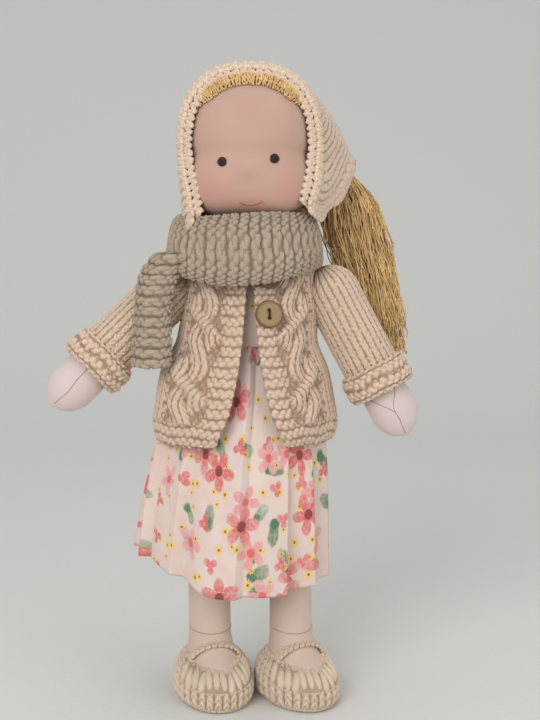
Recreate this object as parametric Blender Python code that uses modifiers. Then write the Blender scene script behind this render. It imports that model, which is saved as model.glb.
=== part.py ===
"""A waldorf doll: a stuffed jersey doll, sewn at the shoulders and hips, in knitted clothes.

The doll stands on its soles and faces -Y. Lengths are in metres. Left and right are the doll's own,
so its left side is at +X. Each stuffed piece has a skin and a filling that share one form, and each
garment is worked out from the body under it and a named ease.
"""
from math import acos, cos, pi, radians, sin, sqrt, tan

import bmesh
import bpy
from mathutils import Matrix, Vector

# Cloth, and the gap that touching pieces keep
CLEARANCE = 0.0003
SKIN_THICKNESS = 0.0010
DRESS_THICKNESS = 0.0008
CARDIGAN_THICKNESS = 0.0034
SLEEVE_THICKNESS = 0.0026
HAIR_THICKNESS = 0.0025
HOOD_THICKNESS = 0.0030
CUT_OVERRUN = 0.0200
FACET_GAP = 0.0005
MERGE_DISTANCE = 0.00001

# Heights of the joints
HIP_HEIGHT = 0.1380
NECK_RISE = 0.1220
SHOULDER_DROP = 0.0280
HEAD_RISE = 0.0520

# Head, with its shape in shares of its half sizes
HEAD_HALF_WIDTH = 0.0345
HEAD_HALF_DEPTH = 0.0360
HEAD_HALF_HEIGHT = 0.0390
HEAD_HEIGHT_SHARES = (-0.93, -0.85, -0.72, -0.55, -0.385, -0.18, 0.0, 0.20, 0.42, 0.62, 0.80, 0.93)
NECK_RADIUS = 0.0110
NECK_OPENING_TURN = radians(30)
NOSE_HEIGHT_SHARE = -0.385
NOSE_DEPTH = 0.0022
NOSE_REACH = 0.0055
EYE_LINE_SHARE = -0.15
THREAD_THICKNESS = 0.0006
THREAD_WIDTH = 0.0016
EYE_RADIUS = 0.0047
EYE_THICKNESS = 0.0011
EYE_HEIGHT_SHARE = -0.23
LEFT_EYE_OFFSET = 0.0137
RIGHT_EYE_OFFSET = 0.0157
MOUTH_HALF_WIDTH = 0.0061
MOUTH_HEIGHT_SHARE = -0.79
MOUTH_DIP = 0.0012
MOUTH_RADIUS = 0.0005
NECK_TIE_THICKNESS = 0.0013
NECK_TIE_WIDTH = 0.0026

# Torso, with its outline in shares of its height and of its half sizes
TORSO_HALF_WIDTH = 0.0285
TORSO_HALF_DEPTH = 0.0205
TORSO_HEIGHT_SHARES = (0.0, 0.05, 0.15, 0.30, 0.50, 0.70, 0.80, 0.88, 0.94, 1.0)
TORSO_WIDTH_SHARES = (0.84, 0.95, 1.0, 1.0, 0.95, 0.965, 0.895, 0.74, 0.57)
TORSO_DEPTH_SHARES = (0.80, 0.93, 1.0, 1.0, 0.98, 0.93, 0.83, 0.73, 0.65)

# Arms and sleeves, with their outline in shares of the arm's length and of the shoulder's ball
ARM_BALL_RADIUS = 0.0135
ARM_LENGTH = 0.0900
ARM_OPENING_TURN = radians(22)
ARM_LENGTH_SHARES = (0.17, 0.39, 0.56, 0.65, 0.74, 0.83, 0.91, 0.965)
ARM_WIDTH_SHARES = (0.93, 0.89, 0.88, 0.88, 0.98, 1.02, 0.83, 0.50)
ARM_DEPTH_SHARES = (0.93, 0.89, 0.88, 0.86, 0.86, 0.82, 0.66, 0.40)
ARM_STITCH_RADIUS = 0.0040
ARMHOLE_RADIUS = 0.0090
ARMHOLE_EASE = 0.0010
ARMHOLE_REACH = 0.0300
SLEEVE_EASE = 0.0010
SLEEVE_END_SHARE = 0.52
CUFF_END_SHARE = 0.675
CUFF_THICKNESS = 0.0046
LEFT_ARM_OUT = radians(28)
RIGHT_ARM_OUT = radians(46)
LEFT_ARM_FORWARD = radians(8)
RIGHT_ARM_FORWARD = radians(12)
LEFT_RAISE = (radians(0), radians(60))
RIGHT_RAISE = (radians(-8), radians(42))
SLOT_MARGIN = radians(4)

# Legs and shoes; each leg's stations run up from the bottom of the foot
LEG_OFFSET = 0.0235
LEG_BALL_RADIUS = 0.0135
LEG_RADIUS = 0.0124
LEG_OPENING_TURN = radians(9)
FOOT_HALF_WIDTH = 0.0165
FOOT_HALF_LENGTH = 0.0255
FOOT_FORWARD = 0.0090
FOOT_HEIGHT = 0.0330
FOOT_HEIGHT_SHARES = (0.0, 0.12, 0.34, 0.56, 0.78, 1.0)
FOOT_WIDTH_SHARES = (0.76, 0.97, 1.0, 0.90, 0.79, 0.752)
FOOT_LENGTH_SHARES = (0.82, 1.0, 0.98, 0.82, 0.60, 0.50)
FOOT_FORWARD_SHARES = (1.0, 1.0, 0.94, 0.62, 0.22, 0.03)
LEFT_TOE_TURN = radians(26)
RIGHT_TOE_TURN = radians(16)
HIP_STITCH_RADIUS = 0.0050
SOLE_THICKNESS = 0.0030
SOLE_MARGIN = 0.0010
SHOE_HALF_WIDTH = 0.0215
SHOE_HALF_LENGTH = 0.0300
SHOE_FORWARD = 0.0080
SHOE_HEIGHT = 0.0245
SHOE_HEIGHT_SHARES = (0.0, 0.18, 0.48, 0.74, 0.90, 1.0)
SHOE_WIDTH_SHARES = (0.93, 1.0, 0.98, 0.86, 0.66, 0.38)
SHOE_LENGTH_SHARES = (0.965, 1.0, 0.98, 0.88, 0.71, 0.42)
INSTEP_HALF_WIDTH = 0.0124
INSTEP_HALF_LENGTH = 0.0150
INSTEP_FORWARD = 0.0050
INSTEP_DEPTH = 0.0120
STRAP_RADIUS = 0.0020
STRAP_HALF_SPAN = 0.0140
STRAP_RISE = 0.0112
STRAP_FORWARD = 0.0120
STRAP_LEAN = 0.0045
STRAP_POINTS = 11

# Dress
DRESS_WAIST_SHARE = 0.50
BODICE_TOP_SHARE = 0.91
SKIRT_LENGTH = 0.1340
SKIRT_HEM_HALF_WIDTH = 0.0520
SKIRT_HEM_HALF_DEPTH = 0.0410
SKIRT_HEM_SWAY = 0.0095
SKIRT_LENGTH_SHARES = (0.0, 0.22, 0.42, 0.66, 0.84, 1.0)
SKIRT_FLARE_SHARES = (1.0, 0.91, 0.80, 0.62, 0.34, 0.0)
SKIRT_PLEATS = 18
PLEAT_DEPTH = 0.0034
PLEAT_SHARES = (1.0, 0.62, 0.0)
PLEAT_FADE_SHARES = (1.0, 0.95, 0.85, 0.60, 0.30, 0.12)

# Cardigan: its ease over the torso, in shares of the ease at the hem
CARDIGAN_HEM_RISE = 0.0190
CARDIGAN_COLLAR_DROP = 0.0065
CARDIGAN_EASE_WIDTH = 0.0255
CARDIGAN_EASE_DEPTH = 0.0260
CARDIGAN_HEIGHT_SHARES = (0.0, 0.19, 0.40, 0.56, 0.71, 0.84, 0.925, 0.97, 1.0)
CARDIGAN_WIDTH_EASE_SHARES = (1.0, 0.87, 0.71, 0.47, 0.42, 0.44, 0.56, 0.55, 0.43)
CARDIGAN_DEPTH_EASE_SHARES = (1.0, 0.84, 0.69, 0.54, 0.44, 0.37, 0.31, 0.27, 0.22)
CARDIGAN_SWAY = 0.0035
CARDIGAN_SWAY_SHARES = (1.0, 1.0, 1.0, 0.55, 0.10, 0.0, 0.0, 0.0, 0.0)
SLIT_HALF_WIDTH_TOP = 0.0016
SLIT_HALF_WIDTH_HEM = 0.0200
SLIT_SHARES = (1.0, 0.52, 0.26, 0.14, 0.07, 0.02, 0.0, 0.0, 0.0)

# Buttons
BUTTON_RADIUS = 0.0075
BUTTON_THICKNESS = 0.0025
BUTTON_HOLE_RADIUS = 0.0011
BUTTON_HOLE_OFFSET = 0.0021
BUTTON_THREAD_RADIUS = 0.00055
BUTTON_INSET = 0.0098
BUTTON_LIFT = 0.0004
LOWER_BUTTON_DROP = 0.0375
UPPER_BUTTON_DROP = 0.0175

# Scarf
SCARF_INNER_HALF_WIDTH = 0.0300
SCARF_INNER_HALF_DEPTH = 0.0290
SCARF_THICKNESS = 0.0120
SCARF_TOP_RISE = 0.0150
SCARF_FRONT_WIDTH = 0.0340
SCARF_SIDE_WIDTH = 0.0260
SCARF_SHIFT = 0.0030
TAIL_HALF_WIDTH = 0.0108
TAIL_HALF_THICKNESS = 0.0025
TAIL_LENGTH = 0.0580
TAIL_TOP_DROP = 0.0080
TAIL_SIDE_START = 0.0430
TAIL_FRONT_START = 0.0245
TAIL_CORNER_SHARE = 0.6
TAIL_LENGTH_SHARES = (0.0, 0.22, 0.48, 0.76, 1.0)
TAIL_SIDE_SHARES = (0.0, 0.72, 1.0, 1.02, 1.10)
TAIL_SIDE_REACH = 0.0095
TAIL_FRONT_SHARES = (0.0, 0.0, -0.1, 0.4, 1.0)
TAIL_FRONT_REACH = 0.0020

# Hair and hood
HAIR_FRONT_SHARE = 0.66
HAIR_HALF_TURN = radians(128)
PONYTAIL_ROOT_DROP = 0.0090
PONYTAIL_SIDE_START = 0.0430
PONYTAIL_BACK_START = 0.0215
PONYTAIL_DROP = 0.1080
PONYTAIL_SIDE_REACH = 0.0370
PONYTAIL_BACK_REACH = 0.0105
PONYTAIL_DROP_SHARES = (0.0, 0.065, 0.19, 0.37, 0.61, 0.83, 1.0)
PONYTAIL_SIDE_SHARES = (0.0, 0.22, 0.39, 0.50, 0.70, 0.87, 1.0)
PONYTAIL_BACK_SHARES = (0.0, 0.43, 0.81, 1.0, 1.0, 0.91, 0.81)
PONYTAIL_HALF_WIDTH = 0.0200
PONYTAIL_HALF_DEPTH = 0.0105
PONYTAIL_WIDTH_SHARES = (0.285, 0.42, 0.84, 1.0, 0.86, 0.56, 0.24)
PONYTAIL_DEPTH_SHARES = (0.55, 0.72, 0.95, 1.0, 0.90, 0.70, 0.40)
HAIR_TIE_THICKNESS = 0.0022
HAIR_TIE_WIDTH = 0.0040
HOOD_FRONT_SHARE = 0.50
HOOD_HALF_TURN = radians(132)
HOOD_POINT_LENGTH = 0.0190
HOOD_POINT_DIRECTION = Vector((0.86, 0.50, -0.04)).normalized()
HOOD_POINT_SHARE = 0.72
EDGING_RADIUS = 0.0034

# How finely each form is divided
TORSO_SEGMENTS = 18
HEAD_SEGMENTS = 20
LIMB_SEGMENTS = 12
SHOE_SEGMENTS = 16
BAND_SEGMENTS = 16
PANEL_COLUMNS = 7
BACK_COLUMNS = 13
SCARF_SEGMENTS = 22
SCARF_SIDES = 8
HOOD_COLUMNS = 20
BONNET_ROWS = 9
BALL_SEGMENTS = 24
BALL_RINGS = 14

# Colour and roughness of each finish
SKIN_FINISH = ((0.83, 0.60, 0.52), 0.85)
WOOL_FINISH = ((0.86, 0.82, 0.74), 0.95)
THREAD_FINISH = ((0.80, 0.72, 0.62), 0.80)
DARK_THREAD_FINISH = ((0.05, 0.03, 0.02), 0.70)
MOUTH_FINISH = ((0.62, 0.27, 0.24), 0.80)
HAIR_FINISH = ((0.72, 0.47, 0.20), 0.75)
KNIT_FINISH = ((0.86, 0.68, 0.55), 0.92)
SCARF_FINISH = ((0.62, 0.52, 0.43), 0.93)
DRESS_FINISH = ((0.90, 0.74, 0.70), 0.80)
WOOD_FINISH = ((0.36, 0.25, 0.14), 0.55)

# Places that follow from the sizes above
SIDE = Vector((1, 0, 0))
BACK = Vector((0, 1, 0))
UP = Vector((0, 0, 1))
NECK_HEIGHT = HIP_HEIGHT + NECK_RISE
SHOULDER_HEIGHT = NECK_HEIGHT - SHOULDER_DROP
HEAD_CENTRE_HEIGHT = NECK_HEIGHT + HEAD_RISE
CARDIGAN_HEM_HEIGHT = HIP_HEIGHT + CARDIGAN_HEM_RISE
SCARF_TOP_HEIGHT = NECK_HEIGHT + SCARF_TOP_RISE
TORSO_BOTTOM = HIP_HEIGHT + LEG_BALL_RADIUS + CLEARANCE
TORSO_TOP = NECK_HEIGHT - NECK_TIE_WIDTH / 2 - CLEARANCE
TORSO_HEIGHT = TORSO_TOP - TORSO_BOTTOM
TORSO_NECK_RADIUS = NECK_RADIUS + CLEARANCE + SKIN_THICKNESS
ARM_STITCH_LENGTH = SLEEVE_THICKNESS + DRESS_THICKNESS + 3 * CLEARANCE
HEAD_CENTRE = Vector((0, 0, HEAD_CENTRE_HEIGHT))
NECK_CENTRE = Vector((0, 0, NECK_HEIGHT))
HIP_CENTRE = Vector((0, 0, HIP_HEIGHT))
FOOT_BOTTOM = SOLE_THICKNESS + CLEARANCE

parts = bpy.data.collections.new("waldorf_doll")
cutters = bpy.data.collections.new("cutters")
bodies = {}


def clear_scene():
    """Empty the scene, and link the collections of parts and of cutters."""
    for item in list(bpy.data.objects):
        bpy.data.objects.remove(item, do_unlink=True)
    bpy.context.scene.collection.children.link(parts)
    bpy.context.scene.collection.children.link(cutters)


def table_value(place, places, values):
    """The value at a place between the rows of a table, in straight steps."""
    if place <= places[0]:
        return values[0]
    for i in range(1, len(places)):
        if place <= places[i]:
            step = (place - places[i - 1]) / (places[i] - places[i - 1])
            return values[i - 1] + (values[i] - values[i - 1]) * step
    return values[-1]


def ring(centre, half_width, half_depth, count, across=SIDE, along=BACK):
    """Points of an ellipse round a centre; a half size that has shrunk past zero is none."""
    width = max(half_width, 0)
    depth = max(half_depth, 0)
    turns = [2 * pi * i / count for i in range(count)]
    return [centre + across * (width * cos(turn)) + along * (depth * sin(turn)) for turn in turns]


def join_rings(mesh, rows, closed, flip=False):
    """Add the faces between each row of points and the next; they face outwards on rising rings."""
    made = [[mesh.verts.new(point) for point in row] for row in rows]
    for low, high in zip(made, made[1:]):
        steps = len(low) if closed else len(low) - 1
        for i in range(steps):
            j = (i + 1) % len(low)
            corners = (low[i], high[i], high[j], low[j]) if flip else (low[i], low[j], high[j], high[i])
            mesh.faces.new(corners)
    return made


def finish_mesh(mesh, name, closed_body=True):
    """Weld a bmesh, turn the faces of a closed body outwards, and make it a smooth mesh.

    A closed body's faces are split alike on every form, so that nested forms never cross.
    """
    bmesh.ops.remove_doubles(mesh, verts=mesh.verts, dist=MERGE_DISTANCE)
    if closed_body:
        bmesh.ops.triangulate(mesh, faces=mesh.faces, quad_method="FIXED")
        bmesh.ops.recalc_face_normals(mesh, faces=mesh.faces)
    data = bpy.data.meshes.new(name)
    mesh.to_mesh(data)
    mesh.free()
    data.shade_smooth()
    return data


def solid(name, rows):
    """A closed form through rings of points, with flat ends or poles."""
    mesh = bmesh.new()
    made = join_rings(mesh, rows, closed=True)
    mesh.faces.new(reversed(made[0]))
    mesh.faces.new(made[-1])
    return finish_mesh(mesh, name)


def loop_solid(name, rows):
    """A closed band: each row is a closed section, and the last row joins the first."""
    mesh = bmesh.new()
    join_rings(mesh, list(rows) + [rows[0]], closed=True)
    return finish_mesh(mesh, name)


def wall(name, outer, inner, around=True, open_start=True, open_end=True):
    """A shell between an outer and an inner form that have the same rows of points."""
    mesh = bmesh.new()
    outside = join_rings(mesh, outer, around)
    inside = join_rings(mesh, inner, around, flip=True)
    for is_open, end in ((open_start, 0), (open_end, -1)):
        if is_open:
            count = len(outside[end])
            for i in range(count if around else count - 1):
                j = (i + 1) % count
                mesh.faces.new((outside[end][i], outside[end][j], inside[end][j], inside[end][i]))
        else:
            mesh.faces.new(outside[end])
            mesh.faces.new(inside[end])
    if not around:
        for side in (0, -1):
            for low in range(len(outside) - 1):
                high = low + 1
                mesh.faces.new((
                    outside[low][side], outside[high][side], inside[high][side], inside[low][side]))
    return finish_mesh(mesh, name)


def open_surface(name, rows, around=True):
    """An open sheet through rows of points."""
    mesh = bmesh.new()
    join_rings(mesh, rows, around)
    return finish_mesh(mesh, name, closed_body=False)


def finish_material(name, finish):
    """The object's own material, from a finish of colour and roughness."""
    colour, roughness = finish
    material = bpy.data.materials.new(name)
    material.use_nodes = True
    shader = material.node_tree.nodes["Principled BSDF"]
    shader.inputs["Base Color"].default_value = (*colour, 1)
    shader.inputs["Roughness"].default_value = roughness
    shader.inputs["Metallic"].default_value = 0
    material.diffuse_color = (*colour, 1)
    return material


def add_body(name, centre, parent=None):
    """An empty at the centre of a joint, which carries the pieces that move with it."""
    holder = bpy.data.objects.new(name, None)
    parts.objects.link(holder)
    if parent is None:
        holder.location = centre
    else:
        holder.parent = bodies[parent][0]
        holder.location = centre - bodies[parent][1]
    bodies[name] = (holder, centre)


def add_part(name, data, body, finish, place=None, facing=None):
    """Put a mesh on its body. Its points are the doll's own unless it gets a place and a facing."""
    item = bpy.data.objects.new(name, data)
    parts.objects.link(item)
    holder, centre = bodies[body]
    item.parent = holder
    item.location = (place or Vector()) - centre
    if facing is not None:
        item.rotation_mode = "QUATERNION"
        item.rotation_quaternion = facing.to_track_quat("Z", "Y")
    data.materials.append(finish_material(name, finish))
    return item


def add_cutter(name, data, place=None, facing=None):
    """Put a mesh among the cutters, in the doll's own frame."""
    item = bpy.data.objects.new(name, data)
    cutters.objects.link(item)
    item.parent = bodies["doll"][0]
    item.location = place or Vector()
    if facing is not None:
        item.rotation_mode = "QUATERNION"
        item.rotation_quaternion = facing.to_track_quat("Z", "Y")
    item.hide_render = True
    item.display_type = "WIRE"
    return item


def cut(item, *shapes):
    """Cut shapes out of a piece."""
    for shape in shapes:
        modifier = item.modifiers.new(shape.name, "BOOLEAN")
        modifier.operation = "DIFFERENCE"
        modifier.solver = "EXACT"
        modifier.object = shape


def thicken(item, thickness, outwards=True):
    """Give an open sheet its thickness, on one side of it."""
    modifier = item.modifiers.new("thickness", "SOLIDIFY")
    modifier.thickness = thickness
    modifier.offset = 1 if outwards else -1
    modifier.use_even_offset = True
    modifier.use_quality_normals = True


def turn_profile(item, segments):
    """Turn a profile of edges round the object's Z axis."""
    modifier = item.modifiers.new("turning", "SCREW")
    modifier.axis = "Z"
    modifier.steps = segments
    modifier.render_steps = segments
    modifier.use_merge_vertices = True
    modifier.merge_threshold = MERGE_DISTANCE
    modifier.use_smooth_shade = True


def profile_mesh(name, points, closed=False):
    """A profile for turning: edges through points of radius and height."""
    data = bpy.data.meshes.new(name)
    count = len(points)
    edges = [(i, (i + 1) % count) for i in range(count if closed else count - 1)]
    data.from_pydata([(radius, 0, height) for radius, height in points], edges, [])
    return data


def ball_mesh(name, radius):
    """A ball for cutting."""
    mesh = bmesh.new()
    bmesh.ops.create_uvsphere(mesh, u_segments=BALL_SEGMENTS, v_segments=BALL_RINGS, radius=radius)
    return finish_mesh(mesh, name)


def rod_mesh(name, radius, length, segments=BAND_SEGMENTS):
    """A cylinder along Z, with its middle at the origin."""
    mesh = bmesh.new()
    bmesh.ops.create_cone(
        mesh, cap_ends=True, segments=segments, radius1=radius, radius2=radius, depth=length)
    return finish_mesh(mesh, name)


def thread_mesh(name, points, radius, sides_resolution=1):
    """A thread through points, as a mesh with closed ends."""
    curve = bpy.data.curves.new(name, "CURVE")
    curve.dimensions = "3D"
    curve.bevel_depth = radius
    curve.bevel_resolution = sides_resolution
    curve.use_fill_caps = True
    spline = curve.splines.new("POLY")
    spline.points.add(len(points) - 1)
    for knot, point in zip(spline.points, points):
        knot.co = (*point, 1)
    holder = bpy.data.objects.new(name, curve)
    cutters.objects.link(holder)
    bpy.context.view_layer.update()
    evaluated = holder.evaluated_get(bpy.context.evaluated_depsgraph_get())
    data = bpy.data.meshes.new_from_object(evaluated)
    bpy.data.objects.remove(holder, do_unlink=True)
    mesh = bmesh.new()
    mesh.from_mesh(data)
    bpy.data.meshes.remove(data)
    return finish_mesh(mesh, name)


def torso_half_sizes(height):
    """The torso's half width and half depth at a height."""
    share = (height - TORSO_BOTTOM) / TORSO_HEIGHT
    widths = [TORSO_HALF_WIDTH * part for part in TORSO_WIDTH_SHARES] + [TORSO_NECK_RADIUS]
    depths = [TORSO_HALF_DEPTH * part for part in TORSO_DEPTH_SHARES] + [TORSO_NECK_RADIUS]
    return (table_value(share, TORSO_HEIGHT_SHARES, widths), table_value(share, TORSO_HEIGHT_SHARES, depths))


def torso_rows(inset, bottom, top):
    """Rings of the torso's form between two heights, drawn in by an inset."""
    heights = [TORSO_BOTTOM + TORSO_HEIGHT * share for share in TORSO_HEIGHT_SHARES]
    inner_heights = [height for height in heights if bottom < height < top]
    rows = []
    for height in [bottom, *inner_heights, top]:
        width, depth = torso_half_sizes(height)
        rows.append(ring(UP * height, width - inset, depth - inset, TORSO_SEGMENTS))
    return rows


def torso_side():
    """The torso's greatest half width beside the arm's stitches."""
    edges = (SHOULDER_HEIGHT - ARM_STITCH_RADIUS, SHOULDER_HEIGHT, SHOULDER_HEIGHT + ARM_STITCH_RADIUS)
    return max(torso_half_sizes(height)[0] for height in edges)


def shoulder_centre(side):
    """The centre of a shoulder's ball; side is 1 for the doll's left and -1 for its right."""
    reach = torso_side() + CLEARANCE + ARM_STITCH_LENGTH + CLEARANCE + ARM_BALL_RADIUS
    return Vector((side * reach, 0, SHOULDER_HEIGHT))


def make_torso():
    """The torso's skin, open at the neck, and its filling with the hollow for the neck."""
    outer = torso_rows(0, TORSO_BOTTOM, TORSO_TOP)
    inner = torso_rows(SKIN_THICKNESS, TORSO_BOTTOM, TORSO_TOP)
    inner[0] = [point + UP * SKIN_THICKNESS for point in inner[0]]
    add_part("torso_skin", wall("torso_skin", outer, inner, open_start=False), "torso", SKIN_FINISH)
    inset = SKIN_THICKNESS + CLEARANCE
    rows = torso_rows(inset, TORSO_BOTTOM, TORSO_TOP - NECK_TIE_WIDTH)
    rows[0] = [point + UP * inset for point in rows[0]]
    filling = add_part("torso_filling", solid("torso_filling", rows), "torso", WOOL_FINISH)
    socket = add_cutter("neck_socket", ball_mesh("neck_socket", NECK_RADIUS + CLEARANCE * 2), NECK_CENTRE)
    cut(filling, socket)


def head_half_sizes(height, inset):
    """The head's half width and half depth at a height, drawn in by an inset."""
    share = (height - HEAD_CENTRE_HEIGHT) / (HEAD_HALF_HEIGHT - inset)
    reach = sqrt(max(1 - share * share, 0))
    return ((HEAD_HALF_WIDTH - inset) * reach, (HEAD_HALF_DEPTH - inset) * reach)


def nose_relief(point):
    """Push a point of the face forwards where the nose is."""
    if point.y >= 0:
        return point
    rise = point.z - (HEAD_CENTRE_HEIGHT + HEAD_HALF_HEIGHT * NOSE_HEIGHT_SHARE)
    distance = (point.x * point.x + rise * rise) / (NOSE_REACH * NOSE_REACH)
    return point - BACK * (NOSE_DEPTH * 2 ** -distance)


def head_rows(inset):
    """Rings of the head's form, from the neck's ball up to the crown."""
    rows = []
    radius = NECK_RADIUS - inset
    for turn in (NECK_OPENING_TURN, pi / 4, pi / 3, pi / 2):
        height = NECK_HEIGHT - radius * cos(turn)
        rows.append(ring(UP * height, radius * sin(turn), radius * sin(turn), HEAD_SEGMENTS))
    rows.append(ring(NECK_CENTRE + UP * NECK_TIE_WIDTH, radius, radius, HEAD_SEGMENTS))
    heights = [HEAD_CENTRE_HEIGHT + (HEAD_HALF_HEIGHT - inset) * share for share in HEAD_HEIGHT_SHARES]
    for height in heights:
        width, depth = head_half_sizes(height, inset)
        half_sizes = (max(width, radius), max(depth, radius))
        rows.append([nose_relief(point) for point in ring(UP * height, *half_sizes, HEAD_SEGMENTS)])
    crown = HEAD_CENTRE + UP * (HEAD_HALF_HEIGHT - inset)
    rows.append(ring(crown, 0, 0, HEAD_SEGMENTS))
    return rows


def belt_rows(inset, half_width):
    """Three rings round the head at the line of the eyes."""
    middle = HEAD_CENTRE_HEIGHT + HEAD_HALF_HEIGHT * EYE_LINE_SHARE
    width, depth = head_half_sizes(middle, 0)
    heights = (middle - half_width, middle + half_width)
    return [ring(UP * height, width - inset, depth - inset, HEAD_SEGMENTS) for height in heights]


def make_head():
    """The head's skin, its ball of wool and the thread that draws in the line of the eyes."""
    outer = head_rows(0)
    inner = head_rows(SKIN_THICKNESS)
    data = wall("head_skin", outer, inner, open_end=False)
    add_part("head_skin", data, "head", SKIN_FINISH)
    inset = SKIN_THICKNESS + CLEARANCE
    filling = add_part("head_filling", solid("head_filling", head_rows(inset)), "head", WOOL_FINISH)
    thread_inset = inset * 2 + THREAD_THICKNESS
    half_width = THREAD_WIDTH / 2
    thread = wall(
        "eye_line_thread", belt_rows(inset * 2, half_width), belt_rows(thread_inset, half_width))
    add_part("eye_line_thread", thread, "head", THREAD_FINISH)
    groove = wall(
        "eye_line_groove", belt_rows(0, half_width + CLEARANCE),
        belt_rows(thread_inset + CLEARANCE, half_width + CLEARANCE))
    cut(filling, add_cutter("eye_line_groove", groove))


def face_point(side_offset, height_share, lift):
    """A point over the face, and the direction that the face looks there."""
    rise = HEAD_HALF_HEIGHT * height_share
    across = side_offset / HEAD_HALF_WIDTH
    depth = HEAD_HALF_DEPTH * sqrt(1 - across * across - height_share * height_share)
    normal = Vector((
        side_offset / HEAD_HALF_WIDTH ** 2,
        -depth / HEAD_HALF_DEPTH ** 2,
        rise / HEAD_HALF_HEIGHT ** 2)).normalized()
    surface = nose_relief(HEAD_CENTRE + Vector((side_offset, -depth, rise)))
    return surface + normal * lift, normal


def make_face():
    """The embroidered eyes, as low domes, and the mouth, as a thread that follows the face."""
    dome = (
        (0, EYE_THICKNESS),
        (EYE_RADIUS * cos(pi / 4), EYE_THICKNESS * sin(pi / 3)),
        (EYE_RADIUS, EYE_THICKNESS / 3),
        (EYE_RADIUS, 0),
        (0, 0),
    )
    for name, offset in (("eye_left", LEFT_EYE_OFFSET), ("eye_right", -RIGHT_EYE_OFFSET)):
        place, normal = face_point(offset, EYE_HEIGHT_SHARE, CLEARANCE)
        eye = add_part(name, profile_mesh(name, dome), "head", DARK_THREAD_FINISH, place, normal)
        turn_profile(eye, BAND_SEGMENTS)
    points = []
    steps = 6
    for i in range(steps + 1):
        share = 2 * i / steps - 1
        dip_share = MOUTH_DIP * (1 - share * share) / HEAD_HALF_HEIGHT
        points.append(face_point(
            MOUTH_HALF_WIDTH * share, MOUTH_HEIGHT_SHARE - dip_share, CLEARANCE + MOUTH_RADIUS)[0])
    add_part("mouth", thread_mesh("mouth", points, MOUTH_RADIUS), "head", MOUTH_FINISH)


def make_neck_tie():
    """The tie round the neck, which rests on the torso's edge."""
    inner = NECK_RADIUS + CLEARANCE * 2
    outer = inner + NECK_TIE_THICKNESS
    half = NECK_TIE_WIDTH / 2
    profile = ((inner, half), (outer, half), (outer, -half), (inner, -half))
    data = profile_mesh("neck_tie", profile, closed=True)
    tie = add_part("neck_tie", data, "neck", THREAD_FINISH, NECK_CENTRE, UP)
    turn_profile(tie, HEAD_SEGMENTS)


def hood_point_gain(direction):
    """How far the hood's point stands out in a direction from the head's centre."""
    nearness = (direction.normalized().dot(HOOD_POINT_DIRECTION) - HOOD_POINT_SHARE) / (1 - HOOD_POINT_SHARE)
    return HOOD_POINT_LENGTH * max(nearness, 0) ** 2


def bonnet_rows(inset, front_share, half_turn, with_point):
    """Rows of a cap over the head, from its front edge to its pole at the back.

    The cap is open below; its two sides come together towards the pole.
    """
    width = HEAD_HALF_WIDTH + inset
    depth = HEAD_HALF_DEPTH + inset
    height = HEAD_HALF_HEIGHT + inset
    rows = []
    front_turn = acos(front_share)
    for i in range(BONNET_ROWS + 1):
        share = i / BONNET_ROWS
        back_turn = front_turn + (pi - front_turn) * share
        reach = -depth * cos(back_turn)
        swell = sin(back_turn)
        end = half_turn + (pi - half_turn) * share * sqrt(share)
        row = []
        for j in range(HOOD_COLUMNS + 1):
            turn = end * (2 * j / HOOD_COLUMNS - 1)
            spot = Vector((width * swell * sin(turn), reach, height * swell * cos(turn)))
            if with_point:
                spot += spot.normalized() * hood_point_gain(spot)
            row.append(HEAD_CENTRE + spot)
        rows.append(row)
    return rows


def ponytail_path():
    """The points that the middle of the ponytail passes through, from its root down."""
    points = []
    for drop, sideways, back in zip(PONYTAIL_DROP_SHARES, PONYTAIL_SIDE_SHARES, PONYTAIL_BACK_SHARES):
        points.append(Vector((
            PONYTAIL_SIDE_START + PONYTAIL_SIDE_REACH * sideways,
            PONYTAIL_BACK_START + PONYTAIL_BACK_REACH * back,
            HEAD_CENTRE_HEIGHT - PONYTAIL_ROOT_DROP - PONYTAIL_DROP * drop)))
    return points


def ponytail_rows(inset):
    """Rings of the ponytail along its path."""
    rows = []
    path = ponytail_path()
    last = len(path) - 1
    for i, point in enumerate(path):
        ahead = path[min(i + 1, last)] - path[max(i - 1, 0)]
        forward = ahead.normalized()
        across = forward.cross(BACK).normalized()
        width = PONYTAIL_HALF_WIDTH * PONYTAIL_WIDTH_SHARES[i] - inset
        depth = PONYTAIL_HALF_DEPTH * PONYTAIL_DEPTH_SHARES[i] - inset
        rows.append(ring(point, width, depth, LIMB_SEGMENTS, across, forward.cross(across)))
    return rows


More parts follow.
